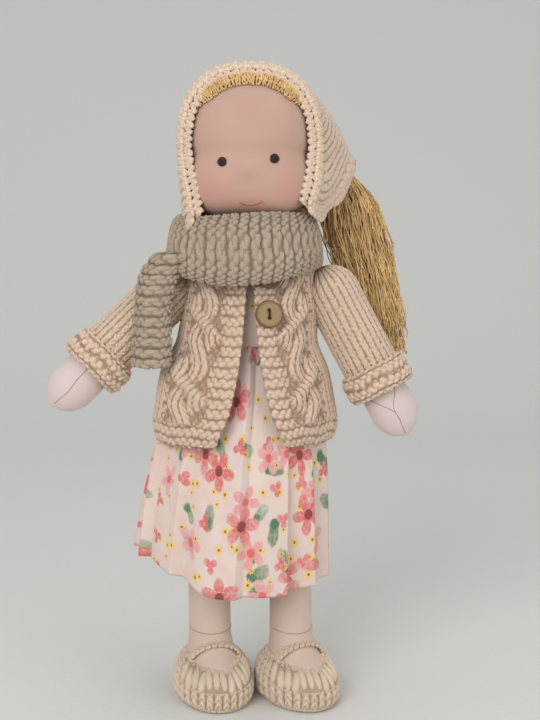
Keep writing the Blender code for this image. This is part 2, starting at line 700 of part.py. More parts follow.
def make_hair():
    """The cap of hair, the ponytail and its tie."""
    inset = CLEARANCE + FACET_GAP
    rows = bonnet_rows(inset, HAIR_FRONT_SHARE, HAIR_HALF_TURN, with_point=False)
    cap = add_part("hair_cap", open_surface("hair_cap", rows, around=False), "head", HAIR_FINISH)
    thicken(cap, HAIR_THICKNESS)
    crown_inset = inset + HAIR_THICKNESS + CLEARANCE
    mesh = bmesh.new()
    scale = Matrix.Diagonal((
        HEAD_HALF_WIDTH + crown_inset, HEAD_HALF_DEPTH + crown_inset, HEAD_HALF_HEIGHT + crown_inset, 1))
    bmesh.ops.create_uvsphere(
        mesh, u_segments=BALL_SEGMENTS * 2, v_segments=BALL_RINGS * 2, radius=1, matrix=scale)
    crown = add_cutter("crown_clearance", finish_mesh(mesh, "crown_clearance"), HEAD_CENTRE)
    ponytail = add_part("ponytail", solid("ponytail", ponytail_rows(0)), "head", HAIR_FINISH)
    cut(ponytail, crown)
    start, after = ponytail_path()[:2]
    ahead = after - start
    place = start + ahead / 2
    width_share = (PONYTAIL_WIDTH_SHARES[0] + PONYTAIL_WIDTH_SHARES[1]) / 2
    depth_share = (PONYTAIL_DEPTH_SHARES[0] + PONYTAIL_DEPTH_SHARES[1]) / 2
    forward = ahead.normalized()
    across = forward.cross(BACK).normalized()
    along = forward.cross(across)
    half_sizes = (PONYTAIL_HALF_WIDTH * width_share, PONYTAIL_HALF_DEPTH * depth_share)
    outer = []
    inner = []
    for end in (-1, 1):
        centre = place + forward * (end * HAIR_TIE_WIDTH / 2)
        for rings, grown in ((inner, CLEARANCE), (outer, CLEARANCE + HAIR_TIE_THICKNESS)):
            width, depth = (half_size + grown for half_size in half_sizes)
            rings.append(ring(centre, width, depth, LIMB_SEGMENTS, across, along))
    tie = add_part("hair_tie", wall("hair_tie", outer, inner), "head", THREAD_FINISH)
    swollen = add_cutter("ponytail_clearance", solid("ponytail_clearance", ponytail_rows(-CLEARANCE)))
    cut(tie, swollen, crown)


def make_hood():
    """The knitted hood with its point, and the crocheted edging along its front."""
    inset = (CLEARANCE + FACET_GAP) * 2 + HAIR_THICKNESS
    rows = bonnet_rows(inset, HOOD_FRONT_SHARE, HOOD_HALF_TURN, with_point=True)
    hood = add_part("hood", open_surface("hood", rows, around=False), "head", KNIT_FINISH)
    thicken(hood, HOOD_THICKNESS)
    grown = HAIR_TIE_THICKNESS + CLEARANCE * 4
    gap = add_cutter("ponytail_way", solid("ponytail_way", ponytail_rows(-grown)))
    cut(hood, gap)
    middle = bonnet_rows(inset + HOOD_THICKNESS / 2, HOOD_FRONT_SHARE, HOOD_HALF_TURN, with_point=False)[0]
    forward = BACK * (EDGING_RADIUS + CLEARANCE)
    points = [point - forward for point in middle]
    add_part("hood_edging", thread_mesh("hood_edging", points, EDGING_RADIUS), "head", KNIT_FINISH)


def arm_frame(side):
    """An arm's shoulder, its direction, and the directions across and along its section."""
    out = LEFT_ARM_OUT if side > 0 else RIGHT_ARM_OUT
    forward = LEFT_ARM_FORWARD if side > 0 else RIGHT_ARM_FORWARD
    direction = Vector((side * sin(out) * cos(forward), -sin(forward), -cos(out) * cos(forward)))
    across = direction.cross(BACK).normalized()
    return shoulder_centre(side), direction, across, direction.cross(across)


def arm_rows(side, inset):
    """Rings of an arm's form, from the ball of the shoulder to the tip of the hand."""
    centre, direction, across, along = arm_frame(side)
    radius = ARM_BALL_RADIUS - inset
    rows = []
    for turn in (ARM_OPENING_TURN, pi / 4, 3 * pi / 8, pi / 2):
        place = centre - direction * (radius * cos(turn))
        rows.append(ring(place, radius * sin(turn), radius * sin(turn), LIMB_SEGMENTS, across, along))
    for length, width, depth in zip(ARM_LENGTH_SHARES, ARM_WIDTH_SHARES, ARM_DEPTH_SHARES):
        place = centre + direction * (ARM_LENGTH * length)
        half_sizes = (ARM_BALL_RADIUS * width - inset, ARM_BALL_RADIUS * depth - inset)
        rows.append(ring(place, *half_sizes, LIMB_SEGMENTS, across, along))
    rows.append(ring(centre + direction * (ARM_LENGTH - inset), 0, 0, LIMB_SEGMENTS, across, along))
    return rows


def sleeve_rows(side):
    """Rings of the sleeve's inner face; they start at a pole over the shoulder."""
    centre, direction, across, along = arm_frame(side)
    radius = ARM_BALL_RADIUS + CLEARANCE
    rows = []
    for turn in (0, pi / 8, pi / 4, 3 * pi / 8, pi / 2):
        place = centre - direction * (radius * cos(turn))
        rows.append(ring(place, radius * sin(turn), radius * sin(turn), LIMB_SEGMENTS, across, along))
    tube = ARM_BALL_RADIUS * max(ARM_WIDTH_SHARES[:3]) + SLEEVE_EASE
    for share in (ARM_LENGTH_SHARES[0], SLEEVE_END_SHARE):
        rows.append(ring(centre + direction * (ARM_LENGTH * share), tube, tube, LIMB_SEGMENTS, across, along))
    return rows


def slot_mesh(name, side):
    """The slot in a sleeve's shoulder that the stitches stand in while the arm is raised."""
    low, high = LEFT_RAISE if side > 0 else RIGHT_RAISE
    centre = shoulder_centre(side)
    reach = ARM_BALL_RADIUS + CUT_OVERRUN
    margin = ARM_STITCH_RADIUS / ARM_BALL_RADIUS + SLOT_MARGIN
    half_width = BACK * (ARM_STITCH_RADIUS + CLEARANCE)
    steps = 4
    turns = [low - margin + (high - low + 2 * margin) * i / steps for i in range(steps + 1)]
    fan = [centre + Vector((-side * reach * cos(turn), 0, reach * sin(turn))) for turn in turns]
    mesh = bmesh.new()
    faces = []
    for offset in (-half_width, half_width):
        corners = [mesh.verts.new(point + offset) for point in [centre, *fan]]
        faces.append((mesh.faces.new(corners), corners))
    front, back = faces[0][1], faces[1][1]
    for i in range(len(front)):
        j = (i + 1) % len(front)
        mesh.faces.new((front[i], front[j], back[j], back[i]))
    return finish_mesh(mesh, name)


def make_arm(side, name):
    """An arm's skin and filling, its stitches to the torso, and its sleeve and turned cuff."""
    body = "arm_" + name
    centre, direction, across, along = arm_frame(side)
    data = wall(
        "arm_skin_" + name, arm_rows(side, 0), arm_rows(side, SKIN_THICKNESS), open_end=False)
    add_part("arm_skin_" + name, data, body, SKIN_FINISH)
    data = solid("arm_filling_" + name, arm_rows(side, SKIN_THICKNESS + CLEARANCE))
    add_part("arm_filling_" + name, data, body, WOOL_FINISH)
    sleeve_data = open_surface("sleeve_" + name, sleeve_rows(side))
    sleeve = add_part("sleeve_" + name, sleeve_data, body, KNIT_FINISH)
    thicken(sleeve, SLEEVE_THICKNESS)
    cut(sleeve, add_cutter("stitch_slot_" + name, slot_mesh("stitch_slot_" + name, side)))
    inner_radius = ARM_BALL_RADIUS * max(ARM_WIDTH_SHARES[:3]) + SLEEVE_EASE
    start = ARM_LENGTH * SLEEVE_END_SHARE + CLEARANCE
    length = ARM_LENGTH * CUFF_END_SHARE - start
    outer = []
    inner = []
    cuff_length_shares = (0.0, 0.25, 0.75, 1.0)
    cuff_swell_shares = (0.62, 1.0, 1.0, 0.72)
    for share, swell in zip(cuff_length_shares, cuff_swell_shares):
        place = centre + direction * (start + length * share)
        radius = inner_radius + CUFF_THICKNESS * swell
        outer.append(ring(place, radius, radius, LIMB_SEGMENTS, across, along))
        inner.append(ring(place, inner_radius, inner_radius, LIMB_SEGMENTS, across, along))
    add_part("cuff_" + name, wall("cuff_" + name, outer, inner), body, KNIT_FINISH)
    reach = shoulder_centre(side).x - side * (ARM_BALL_RADIUS + CLEARANCE + ARM_STITCH_LENGTH / 2)
    stitches = rod_mesh("arm_stitches_" + name, ARM_STITCH_RADIUS, ARM_STITCH_LENGTH)
    place = Vector((reach, 0, SHOULDER_HEIGHT))
    add_part("arm_stitches_" + name, stitches, "shoulder_" + name, THREAD_FINISH, place, SIDE)


def make_armhole_spaces():
    """The funnels that the cardigan leaves for both sleeves.

    Each is a ball round the shoulder, and from there the cone that the lowest arm sweeps as it swings.
    """
    spaces = []
    radius = ARM_BALL_RADIUS + CLEARANCE + SLEEVE_THICKNESS + ARMHOLE_EASE
    for side, name in ((1, "left"), (-1, "right")):
        lowest = LEFT_ARM_OUT + LEFT_RAISE[0] if side > 0 else RIGHT_ARM_OUT + RIGHT_RAISE[0]
        centre = shoulder_centre(side)
        steps = 4
        turns = [lowest * i / steps for i in range(steps + 1)]
        outline = [(-radius * cos(turn), radius * sin(turn)) for turn in turns]
        outline.append((ARMHOLE_REACH * tan(lowest) - radius / cos(lowest), ARMHOLE_REACH))
        outline.append((ARMHOLE_REACH, ARMHOLE_REACH))
        rows = [
            ring(centre + SIDE * (side * out), reach, reach, BALL_SEGMENTS, BACK, UP)
            for out, reach in outline]
        spaces.append(add_cutter("armhole_space_" + name, solid("armhole_space_" + name, rows)))
    return spaces


def toe_turn(side):
    """How far a foot turns round its leg."""
    return LEFT_TOE_TURN if side > 0 else RIGHT_TOE_TURN


def foot_ring(side, height, half_width, half_length, forward, count):
    """An ellipse round a leg's line, turned with the toes."""
    turn = Matrix.Rotation(toe_turn(side), 3, "Z")
    centre = Vector((side * LEG_OFFSET, 0, height)) + turn @ Vector((0, -forward, 0))
    return ring(centre, half_width, half_length, count, turn @ SIDE, turn @ BACK)


def leg_rows(side, inset):
    """Rings of a leg's form, from the bottom of the foot up to the opening at the hip."""
    rows = []
    table = zip(FOOT_HEIGHT_SHARES, FOOT_WIDTH_SHARES, FOOT_LENGTH_SHARES, FOOT_FORWARD_SHARES)
    for height_share, width, length, forward in table:
        height = FOOT_BOTTOM + FOOT_HEIGHT * height_share
        if height_share == 0:
            height += inset
        half_sizes = (FOOT_HALF_WIDTH * width - inset, FOOT_HALF_LENGTH * length - inset)
        rows.append(foot_ring(side, height, *half_sizes, FOOT_FORWARD * forward, LIMB_SEGMENTS))
    thigh = HIP_HEIGHT - LEG_BALL_RADIUS * 1.5
    for height in ((FOOT_BOTTOM + FOOT_HEIGHT + thigh) / 2, thigh):
        rows.append(foot_ring(side, height, LEG_RADIUS - inset, LEG_RADIUS - inset, 0, LIMB_SEGMENTS))
    radius = LEG_BALL_RADIUS - inset
    for turn in (pi / 2, 3 * pi / 8, pi / 4, LEG_OPENING_TURN):
        height = HIP_HEIGHT + radius * cos(turn)
        half = radius * sin(turn)
        rows.append(foot_ring(side, height, half, half, 0, LIMB_SEGMENTS))
    return rows


def shoe_rows(side, inset):
    """Rings of a shoe's outside, from the sole's top up to the toe's crown."""
    rows = []
    for height_share, width, length in zip(SHOE_HEIGHT_SHARES, SHOE_WIDTH_SHARES, SHOE_LENGTH_SHARES):
        height = FOOT_BOTTOM + inset + (SHOE_HEIGHT - 2 * inset) * height_share
        half_sizes = (SHOE_HALF_WIDTH * width - inset, SHOE_HALF_LENGTH * length - inset)
        rows.append(foot_ring(side, height, *half_sizes, SHOE_FORWARD, SHOE_SEGMENTS))
    return rows


def make_leg(side, name):
    """A leg's skin and filling, and its shoe: upper, sole and strap."""
    body = "leg_" + name
    outer = leg_rows(side, 0)
    inner = leg_rows(side, SKIN_THICKNESS)
    add_part("leg_skin_" + name, wall("leg_skin_" + name, outer, inner, open_start=False), body, SKIN_FINISH)
    data = solid("leg_filling_" + name, leg_rows(side, SKIN_THICKNESS + CLEARANCE))
    add_part("leg_filling_" + name, data, body, WOOL_FINISH)
    foot_space = add_cutter("foot_space_" + name, solid("foot_space_" + name, leg_rows(side, -CLEARANCE)))
    shoe_top = FOOT_BOTTOM + SHOE_HEIGHT
    instep_rows = [
        foot_ring(side, height, INSTEP_HALF_WIDTH, INSTEP_HALF_LENGTH, INSTEP_FORWARD, SHOE_SEGMENTS)
        for height in (shoe_top - INSTEP_DEPTH, shoe_top + CUT_OVERRUN)]
    instep = add_cutter("instep_" + name, solid("instep_" + name, instep_rows))
    upper = add_part("shoe_upper_" + name, solid("shoe_upper_" + name, shoe_rows(side, 0)), body, KNIT_FINISH)
    cut(upper, foot_space, instep)
    half_width = SHOE_HALF_WIDTH * SHOE_WIDTH_SHARES[0]
    half_length = SHOE_HALF_LENGTH * SHOE_LENGTH_SHARES[0]
    sole_rows = [
        foot_ring(side, height, half_width - margin, half_length - margin, SHOE_FORWARD, SHOE_SEGMENTS)
        for height, margin in ((0, SOLE_MARGIN), (SOLE_THICKNESS, 0))]
    add_part("shoe_sole_" + name, solid("shoe_sole_" + name, sole_rows), body, KNIT_FINISH)
    turn = Matrix.Rotation(toe_turn(side), 3, "Z")
    points = []
    for i in range(STRAP_POINTS):
        lift = pi * i / (STRAP_POINTS - 1)
        spot = Vector((
            STRAP_HALF_SPAN * cos(lift), -STRAP_FORWARD - STRAP_LEAN * sin(lift),
            shoe_top - STRAP_RADIUS * 2 + STRAP_RISE * sin(lift)))
        points.append(turn @ spot + SIDE * (side * LEG_OFFSET))
    data = thread_mesh("shoe_strap_" + name, points, STRAP_RADIUS)
    strap = add_part("shoe_strap_" + name, data, body, KNIT_FINISH)
    shoe_space = add_cutter("shoe_space_" + name, solid("shoe_space_" + name, shoe_rows(side, -CLEARANCE)))
    cut(strap, shoe_space, foot_space)


def make_hip_stitches():
    """The stitches between the legs that hold both to the torso."""
    length = 2 * (LEG_OFFSET - LEG_BALL_RADIUS - CLEARANCE)
    data = rod_mesh("hip_stitches", HIP_STITCH_RADIUS, length)
    add_part("hip_stitches", data, "hips", THREAD_FINISH, HIP_CENTRE, SIDE)


def make_dress():
    """The bodice, which lies on the torso, and the pleated skirt below it."""
    waist = TORSO_BOTTOM + TORSO_HEIGHT * DRESS_WAIST_SHARE
    top = TORSO_BOTTOM + TORSO_HEIGHT * BODICE_TOP_SHARE
    inner = torso_rows(-2 * CLEARANCE, waist + CLEARANCE, top)
    outer = torso_rows(-2 * CLEARANCE - DRESS_THICKNESS, waist + CLEARANCE, top)
    bodice = add_part("dress_bodice", wall("dress_bodice", outer, inner), "torso", DRESS_FINISH)
    length = 2 * (shoulder_centre(1).x + CUT_OVERRUN)
    armhole_data = rod_mesh("armholes", ARMHOLE_RADIUS, length)
    armholes = add_cutter("armholes", armhole_data, UP * SHOULDER_HEIGHT, SIDE)
    cut(bodice, armholes)
    waist_width, waist_depth = torso_half_sizes(waist)
    ease = 2 * CLEARANCE
    count = SKIRT_PLEATS * len(PLEAT_SHARES)
    rows = []
    for length_share, flare, fade in zip(SKIRT_LENGTH_SHARES, SKIRT_FLARE_SHARES, PLEAT_FADE_SHARES):
        height = waist - SKIRT_LENGTH + SKIRT_LENGTH * length_share
        width = waist_width + ease + (SKIRT_HEM_HALF_WIDTH - waist_width) * flare
        depth = waist_depth + ease + (SKIRT_HEM_HALF_DEPTH - waist_depth) * flare
        centre = Vector((-SKIRT_HEM_SWAY * flare * flare, 0, height))
        row = []
        for i in range(count):
            turn = 2 * pi * i / count
            fold = PLEAT_DEPTH * fade * PLEAT_SHARES[i % len(PLEAT_SHARES)]
            row.append(centre + SIDE * ((width + fold) * cos(turn)) + BACK * ((depth + fold) * sin(turn)))
        rows.append(row)
    skirt = add_part("dress_skirt", open_surface("dress_skirt", rows), "torso", DRESS_FINISH)
    thicken(skirt, DRESS_THICKNESS)


def cardigan_sections():
    """The cardigan's sections from the hem up: height, half width, half depth, sideways shift, slit."""
    top = TORSO_TOP - CARDIGAN_COLLAR_DROP
    rise = top - CARDIGAN_HEM_HEIGHT
    sections = []
    table = zip(
        CARDIGAN_HEIGHT_SHARES, CARDIGAN_WIDTH_EASE_SHARES, CARDIGAN_DEPTH_EASE_SHARES,
        CARDIGAN_SWAY_SHARES, SLIT_SHARES)
    for height_share, wide, deep, sway, slit in table:
        height = CARDIGAN_HEM_HEIGHT + rise * height_share
        width, depth = torso_half_sizes(height)
        half_width = width + CARDIGAN_EASE_WIDTH * wide
        half_depth = depth + CARDIGAN_EASE_DEPTH * deep
        edge = SLIT_HALF_WIDTH_TOP + (SLIT_HALF_WIDTH_HEM - SLIT_HALF_WIDTH_TOP) * slit
        sections.append((height, half_width, half_depth, -CARDIGAN_SWAY * sway, edge))
    return sections


def cardigan_point(section, place, inset):
    """A point of the cardigan at a turn from the front, positive to the doll's left."""
    height, half_width, half_depth, shift, _ = section
    width = half_width - inset
    depth = half_depth - inset
    return Vector((shift + width * sin(place), -depth * cos(place), height))


def cardigan_panel(name, side):
    """A panel of the cardigan: the back where side is 0, else a front from its edge to the side seam."""
    grids = []
    for inset in (0, CARDIGAN_THICKNESS):
        rows = []
        for section in cardigan_sections():
            height, half_width, half_depth, shift, edge = section
            seam = CLEARANCE / (half_depth - inset)
            if side == 0:
                first, last, columns = pi / 2 + seam, 3 * pi / 2 - seam, BACK_COLUMNS
            else:
                front = side * (edge - side * shift) / (half_width - inset)
                first, last, columns = front, side * (pi / 2 - seam), PANEL_COLUMNS
                if side < 0:
                    first, last = last, first
            step = (last - first) / columns
            rows.append([cardigan_point(section, first + step * i, inset) for i in range(columns + 1)])
        grids.append(rows)
    return wall(name, grids[0], grids[1], around=False)


def cardigan_space(name):
    """The cardigan's outside as a solid, grown by the gap that the scarf keeps."""
    rows = []
    grown = -2 * CLEARANCE
    count = SCARF_SEGMENTS * 2
    sections = cardigan_sections()
    for section in sections:
        rows.append([cardigan_point(section, 2 * pi * i / count, grown) for i in range(count)])
    rows.append([point + UP * (2 * CLEARANCE) for point in rows[-1]])
    return solid(name, rows)


def make_cardigan(armhole_spaces):
    """The back and both fronts of the cardigan, with armholes for the sleeves."""
    for name, side in (("cardigan_back", 0), ("cardigan_front_left", 1), ("cardigan_front_right", -1)):
        panel = add_part(name, cardigan_panel(name, side), "torso", KNIT_FINISH)
        cut(panel, *armhole_spaces)


def cardigan_front_place(side_offset, height, lift):
    """A point over the cardigan's front at a height, and the direction that the front looks there."""
    sections = cardigan_sections()
    heights = [section[0] for section in sections]
    half_width = table_value(height, heights, [section[1] for section in sections])
    half_depth = table_value(height, heights, [section[2] for section in sections])
    shift = table_value(height, heights, [section[3] for section in sections])
    step = BUTTON_RADIUS
    above = table_value(height + step, heights, [section[2] for section in sections])
    below = table_value(height - step, heights, [section[2] for section in sections])
    across = (side_offset - shift) / half_width
    depth = half_depth * sqrt(1 - across * across)
    slope = (above - below) / (2 * step)
    level = Vector((across / half_width, -depth / half_depth ** 2, 0)).normalized()
    normal = (level + UP * (level.y * slope)).normalized()
    return Vector((side_offset, -depth, height)) + normal * lift, normal


def make_button(name, height):
    """A wooden button with two holes, and the thread that holds it."""
    place, normal = cardigan_front_place(BUTTON_INSET, height, BUTTON_LIFT)
    rim = BUTTON_THICKNESS / 5
    profile = (
        (0, BUTTON_THICKNESS - rim),
        (BUTTON_RADIUS - 3 * rim, BUTTON_THICKNESS - rim),
        (BUTTON_RADIUS - 2 * rim, BUTTON_THICKNESS),
        (BUTTON_RADIUS - rim, BUTTON_THICKNESS),
        (BUTTON_RADIUS, BUTTON_THICKNESS - rim),
        (BUTTON_RADIUS, rim),
        (BUTTON_RADIUS - rim, 0),
        (0, 0),
    )
    data = profile_mesh("button_" + name, profile)
    button = add_part("button_" + name, data, "torso", WOOD_FINISH, place, normal)
    turn_profile(button, BAND_SEGMENTS)
    turn = normal.to_track_quat("Z", "Y")
    for hole_side in (-1, 1):
        centre = place + turn @ Vector((0, hole_side * BUTTON_HOLE_OFFSET, 0))
        hole_name = "button_hole_" + name + ("_low" if hole_side < 0 else "_high")
        data = rod_mesh(hole_name, BUTTON_HOLE_RADIUS, CUT_OVERRUN, LIMB_SEGMENTS - 4)
        cut(button, add_cutter(hole_name, data, centre, normal))
    top = BUTTON_THICKNESS - rim + CLEARANCE + BUTTON_THREAD_RADIUS
    hole = BUTTON_HOLE_OFFSET
    offsets = ((-hole, 0), (-hole, top), (hole, top), (hole, 0))
    points = [place + turn @ Vector((0, along, rise)) for along, rise in offsets]
    thread = thread_mesh("button_thread_" + name, points, BUTTON_THREAD_RADIUS)
    add_part("button_thread_" + name, thread, "torso", DARK_THREAD_FINISH)


def scarf_section(turn, grown):
    """One section through the scarf's wrap; it hangs lowest at the front."""
    direction = Vector((cos(turn), sin(turn), 0))
    front = max(-sin(turn), 0) ** 2
    inner = 1 / sqrt(
        (cos(turn) / SCARF_INNER_HALF_WIDTH) ** 2 + (sin(turn) / SCARF_INNER_HALF_DEPTH) ** 2)
    width = SCARF_SIDE_WIDTH + (SCARF_FRONT_WIDTH - SCARF_SIDE_WIDTH) * front
    radius = inner + SCARF_THICKNESS / 2
    centre = Vector((-SCARF_SHIFT, 0, SCARF_TOP_HEIGHT - width / 2)) + direction * radius
    section = []
    for i in range(SCARF_SIDES):
        place = 2 * pi * (i + 0.5) / SCARF_SIDES
        thick = SCARF_THICKNESS / 2 + grown
        tall = width / 2 + grown
        section.append(centre + direction * (thick * cos(place)) + UP * (tall * sin(place)))
    return section


def scarf_rows(grown):
    """Every section of the scarf's wrap, in order round the neck."""
    return [scarf_section(2 * pi * i / SCARF_SEGMENTS, grown) for i in range(SCARF_SEGMENTS)]


def make_scarf():
    """The scarf's wrap, which rests on the cardigan's shoulders, and its hanging end."""
    wrap = add_part("scarf_wrap", loop_solid("scarf_wrap", scarf_rows(0)), "torso", SCARF_FINISH)
    cut(wrap, add_cutter("cardigan_space", cardigan_space("cardigan_space")))
    rows = []
    slim = TAIL_CORNER_SHARE
    corners = (
        (-1, -slim), (-1, slim), (-slim, 1), (slim, 1), (1, slim), (1, -slim), (slim, -1), (-slim, -1))
    for length, sideways, forward in zip(TAIL_LENGTH_SHARES, TAIL_SIDE_SHARES, TAIL_FRONT_SHARES):
        centre = UP * (NECK_HEIGHT - TAIL_TOP_DROP - TAIL_LENGTH * length)
        centre -= SIDE * (TAIL_SIDE_START + TAIL_SIDE_REACH * sideways)
        centre -= BACK * (TAIL_FRONT_START + TAIL_FRONT_REACH * forward)
        rows.append([
            centre + SIDE * (TAIL_HALF_WIDTH * x) + BACK * (TAIL_HALF_THICKNESS * y) for x, y in corners])
    tail = add_part("scarf_tail", solid("scarf_tail", rows), "torso", SCARF_FINISH)
    cut(tail, add_cutter("scarf_space", loop_solid("scarf_space", scarf_rows(2 * CLEARANCE))))


def set_down():
    """Move the whole doll so that the middle of its base is at the origin, and tell the joints' places."""
    bpy.context.view_layer.update()
    graph = bpy.context.evaluated_depsgraph_get()
    corners = []
    for item in parts.objects:
        if item.type == "MESH":
            shape = item.evaluated_get(graph)
            corners += [shape.matrix_world @ vertex.co for vertex in shape.data.vertices]
    low = [min(corner[axis] for corner in corners) for axis in range(3)]
    high = [max(corner[axis] for corner in corners) for axis in range(3)]
    shift = Vector(((low[0] + high[0]) / 2, (low[1] + high[1]) / 2, low[2]))
    bodies["doll"][0].location -= shift
    bpy.context.view_layer.update()
    print("height", round(high[2] - low[2], 5), "width", round(high[0] - low[0], 5))
    for name, (holder, _) in bodies.items():
        print(name, [round(value, 5) for value in holder.matrix_world.translation])


def main():
    """Build the doll, one sub-part after another."""
    clear_scene()
    add_body("doll", Vector())
    add_body("torso", UP * TORSO_BOTTOM, "doll")
    add_body("neck", NECK_CENTRE, "torso")
    add_body("head", NECK_CENTRE, "neck")
    for name, side in (("left", 1), ("right", -1)):
        add_body("shoulder_" + name, shoulder_centre(side), "torso")
        add_body("arm_" + name, shoulder_centre(side), "shoulder_" + name)
    add_body("hips", HIP_CENTRE, "torso")
    for name, side in (("left", 1), ("right", -1)):
        add_body("leg_" + name, HIP_CENTRE + SIDE * (side * LEG_OFFSET), "hips")
    make_torso()
    make_neck_tie()
    make_head()
    make_face()
    make_hair()
    make_hood()
    for side, name in ((1, "left"), (-1, "right")):
        make_arm(side, name)
        make_leg(side, name)
    make_hip_stitches()
    make_dress()
    make_cardigan(make_armhole_spaces())
    make_button("lower", NECK_HEIGHT - LOWER_BUTTON_DROP)
    make_button("upper", NECK_HEIGHT - UPPER_BUTTON_DROP)
    make_scarf()
    set_down()


main()
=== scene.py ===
"""A standing stuffed doll in knitted clothes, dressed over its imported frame."""
import logging
from collections.abc import Callable, Sequence
from dataclasses import dataclass, field
from enum import Enum
from math import cos, hypot, pi, radians, sin, sqrt, tan

import bmesh
import bpy
import numpy as np
from mathutils import Matrix, Vector


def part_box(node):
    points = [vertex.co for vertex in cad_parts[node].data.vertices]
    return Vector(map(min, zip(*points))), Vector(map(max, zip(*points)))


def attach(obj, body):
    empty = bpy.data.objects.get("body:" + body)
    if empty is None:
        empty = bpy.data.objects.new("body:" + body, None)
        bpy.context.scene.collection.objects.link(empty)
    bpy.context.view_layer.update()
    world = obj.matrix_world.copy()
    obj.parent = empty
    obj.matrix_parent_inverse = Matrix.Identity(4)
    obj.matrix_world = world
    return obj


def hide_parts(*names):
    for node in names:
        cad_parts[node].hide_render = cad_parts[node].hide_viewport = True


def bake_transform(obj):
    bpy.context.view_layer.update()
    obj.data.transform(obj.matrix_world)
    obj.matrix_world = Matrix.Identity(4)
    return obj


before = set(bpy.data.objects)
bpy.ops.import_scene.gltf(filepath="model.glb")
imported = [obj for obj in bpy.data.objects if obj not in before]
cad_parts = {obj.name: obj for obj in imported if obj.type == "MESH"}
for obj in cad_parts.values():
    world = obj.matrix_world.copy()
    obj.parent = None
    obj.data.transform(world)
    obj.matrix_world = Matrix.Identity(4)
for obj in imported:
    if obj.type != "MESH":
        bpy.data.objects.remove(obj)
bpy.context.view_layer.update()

logging.basicConfig(level=logging.INFO, format="%(message)s")
log = logging.getLogger("doll")

Array = np.ndarray
Shape = Callable[[Array, Array], Array]
Relief = Callable[[Array, Array], Array]
Colour = tuple[float, float, float]

# The body's own axis in the frame, whose origin is the middle of the doll's box. Every form is laid from this axis.
AXIS = np.array([0.00891, 0.0, 0.0])
SHOULDER_HEIGHT = 0.232
SHOULDER_OFFSET = 0.0456
HEAD_CENTRE = np.array([0.0, 0.0, 0.312])
HEAD_HALF = np.array([0.0345, 0.0360, 0.0390])
TORSO_BOTTOM = 0.1518
TORSO_HEIGHT = 0.1066
TORSO_HALF = (0.0285, 0.0205)
STITCH_WIDTH = 0.0042
STITCH_HEIGHT = 0.0032
# A garter ridge takes two rows, which draw up a little.
RIDGE_HEIGHT = 2 * STITCH_HEIGHT * 0.86
# How far apart a form is read to find its slope, as a share of its length.
NUDGE = 0.001


class Side(Enum):
    """A side of the doll, with the sign of its X."""

    LEFT = 1
    RIGHT = -1

    @property
    def word(self) -> str:
        """The side's name as the pieces carry it."""
        return self.name.lower()


# Shader tools


class Value:
    """A number that changes over a surface, which is worked out with Math nodes."""

    def __init__(self, tree: bpy.types.NodeTree, socket: bpy.types.NodeSocket) -> None:
        """Keep a socket and its tree.

        Args:
            tree: The node tree that new nodes go into.
            socket: The output that holds the number.
        """
        self.tree = tree
        self.socket = socket

    def math(self, operation: str, *others: "Value | float", swap: bool = False) -> "Value":
        """Work out one operation.

        Args:
            operation: The Math node's operation.
            others: The other values.
            swap: Whether this value comes last.

        Returns:
            The result.
        """
        node = self.tree.nodes.new("ShaderNodeMath")
        node.operation = operation
        values = [*others, self] if swap else [self, *others]
        for entry, value in zip(node.inputs, values):
            if isinstance(value, Value):
                self.tree.links.new(value.socket, entry)
            else:
                entry.default_value = value
        return Value(self.tree, node.outputs[0])

    def __add__(self, other: "Value | float") -> "Value":
        """This value plus another."""
        return self.math("ADD", other)

    def __sub__(self, other: "Value | float") -> "Value":
        """This value less another."""
        return self.math("SUBTRACT", other)

    def __rsub__(self, other: "Value | float") -> "Value":
        """Another value less this one."""
        return self.math("SUBTRACT", other, swap=True)

    def __mul__(self, other: "Value | float") -> "Value":
        """This value times another."""
        return self.math("MULTIPLY", other)

    def __truediv__(self, other: "Value | float") -> "Value":
        """This value divided by another."""
        return self.math("DIVIDE", other)

    def __pow__(self, other: "Value | float") -> "Value":
        """This value to a power."""
        return self.math("POWER", other)

    def __gt__(self, other: "Value | float") -> "Value":
        """1 where this value is greater."""
        return self.math("GREATER_THAN", other)

    __radd__ = __add__
    __rmul__ = __mul__

    def step(self, low: float, high: float) -> "Value":
        """Rise smoothly from 0 at low to 1 at high; high may lie below low.

        Args:
            low: Where the step begins.
            high: Where it ends.

        Returns:
            The step's value.
        """
        node = self.tree.nodes.new("ShaderNodeMapRange")
        node.interpolation_type = "SMOOTHSTEP"
        flip = high < low
        self.tree.links.new(self.socket, node.inputs["Value"])
        node.inputs["From Min"].default_value = min(low, high)
        node.inputs["From Max"].default_value = max(low, high)
        result = Value(self.tree, node.outputs["Result"])
        return 1.0 - result if flip else result

    def sin(self) -> "Value":
        """The sine of this value."""
        return self.math("SINE")

    def clamp(self) -> "Value":
        """This value held between 0 and 1."""
        return self.math("MAXIMUM", 0.0).math("MINIMUM", 1.0)


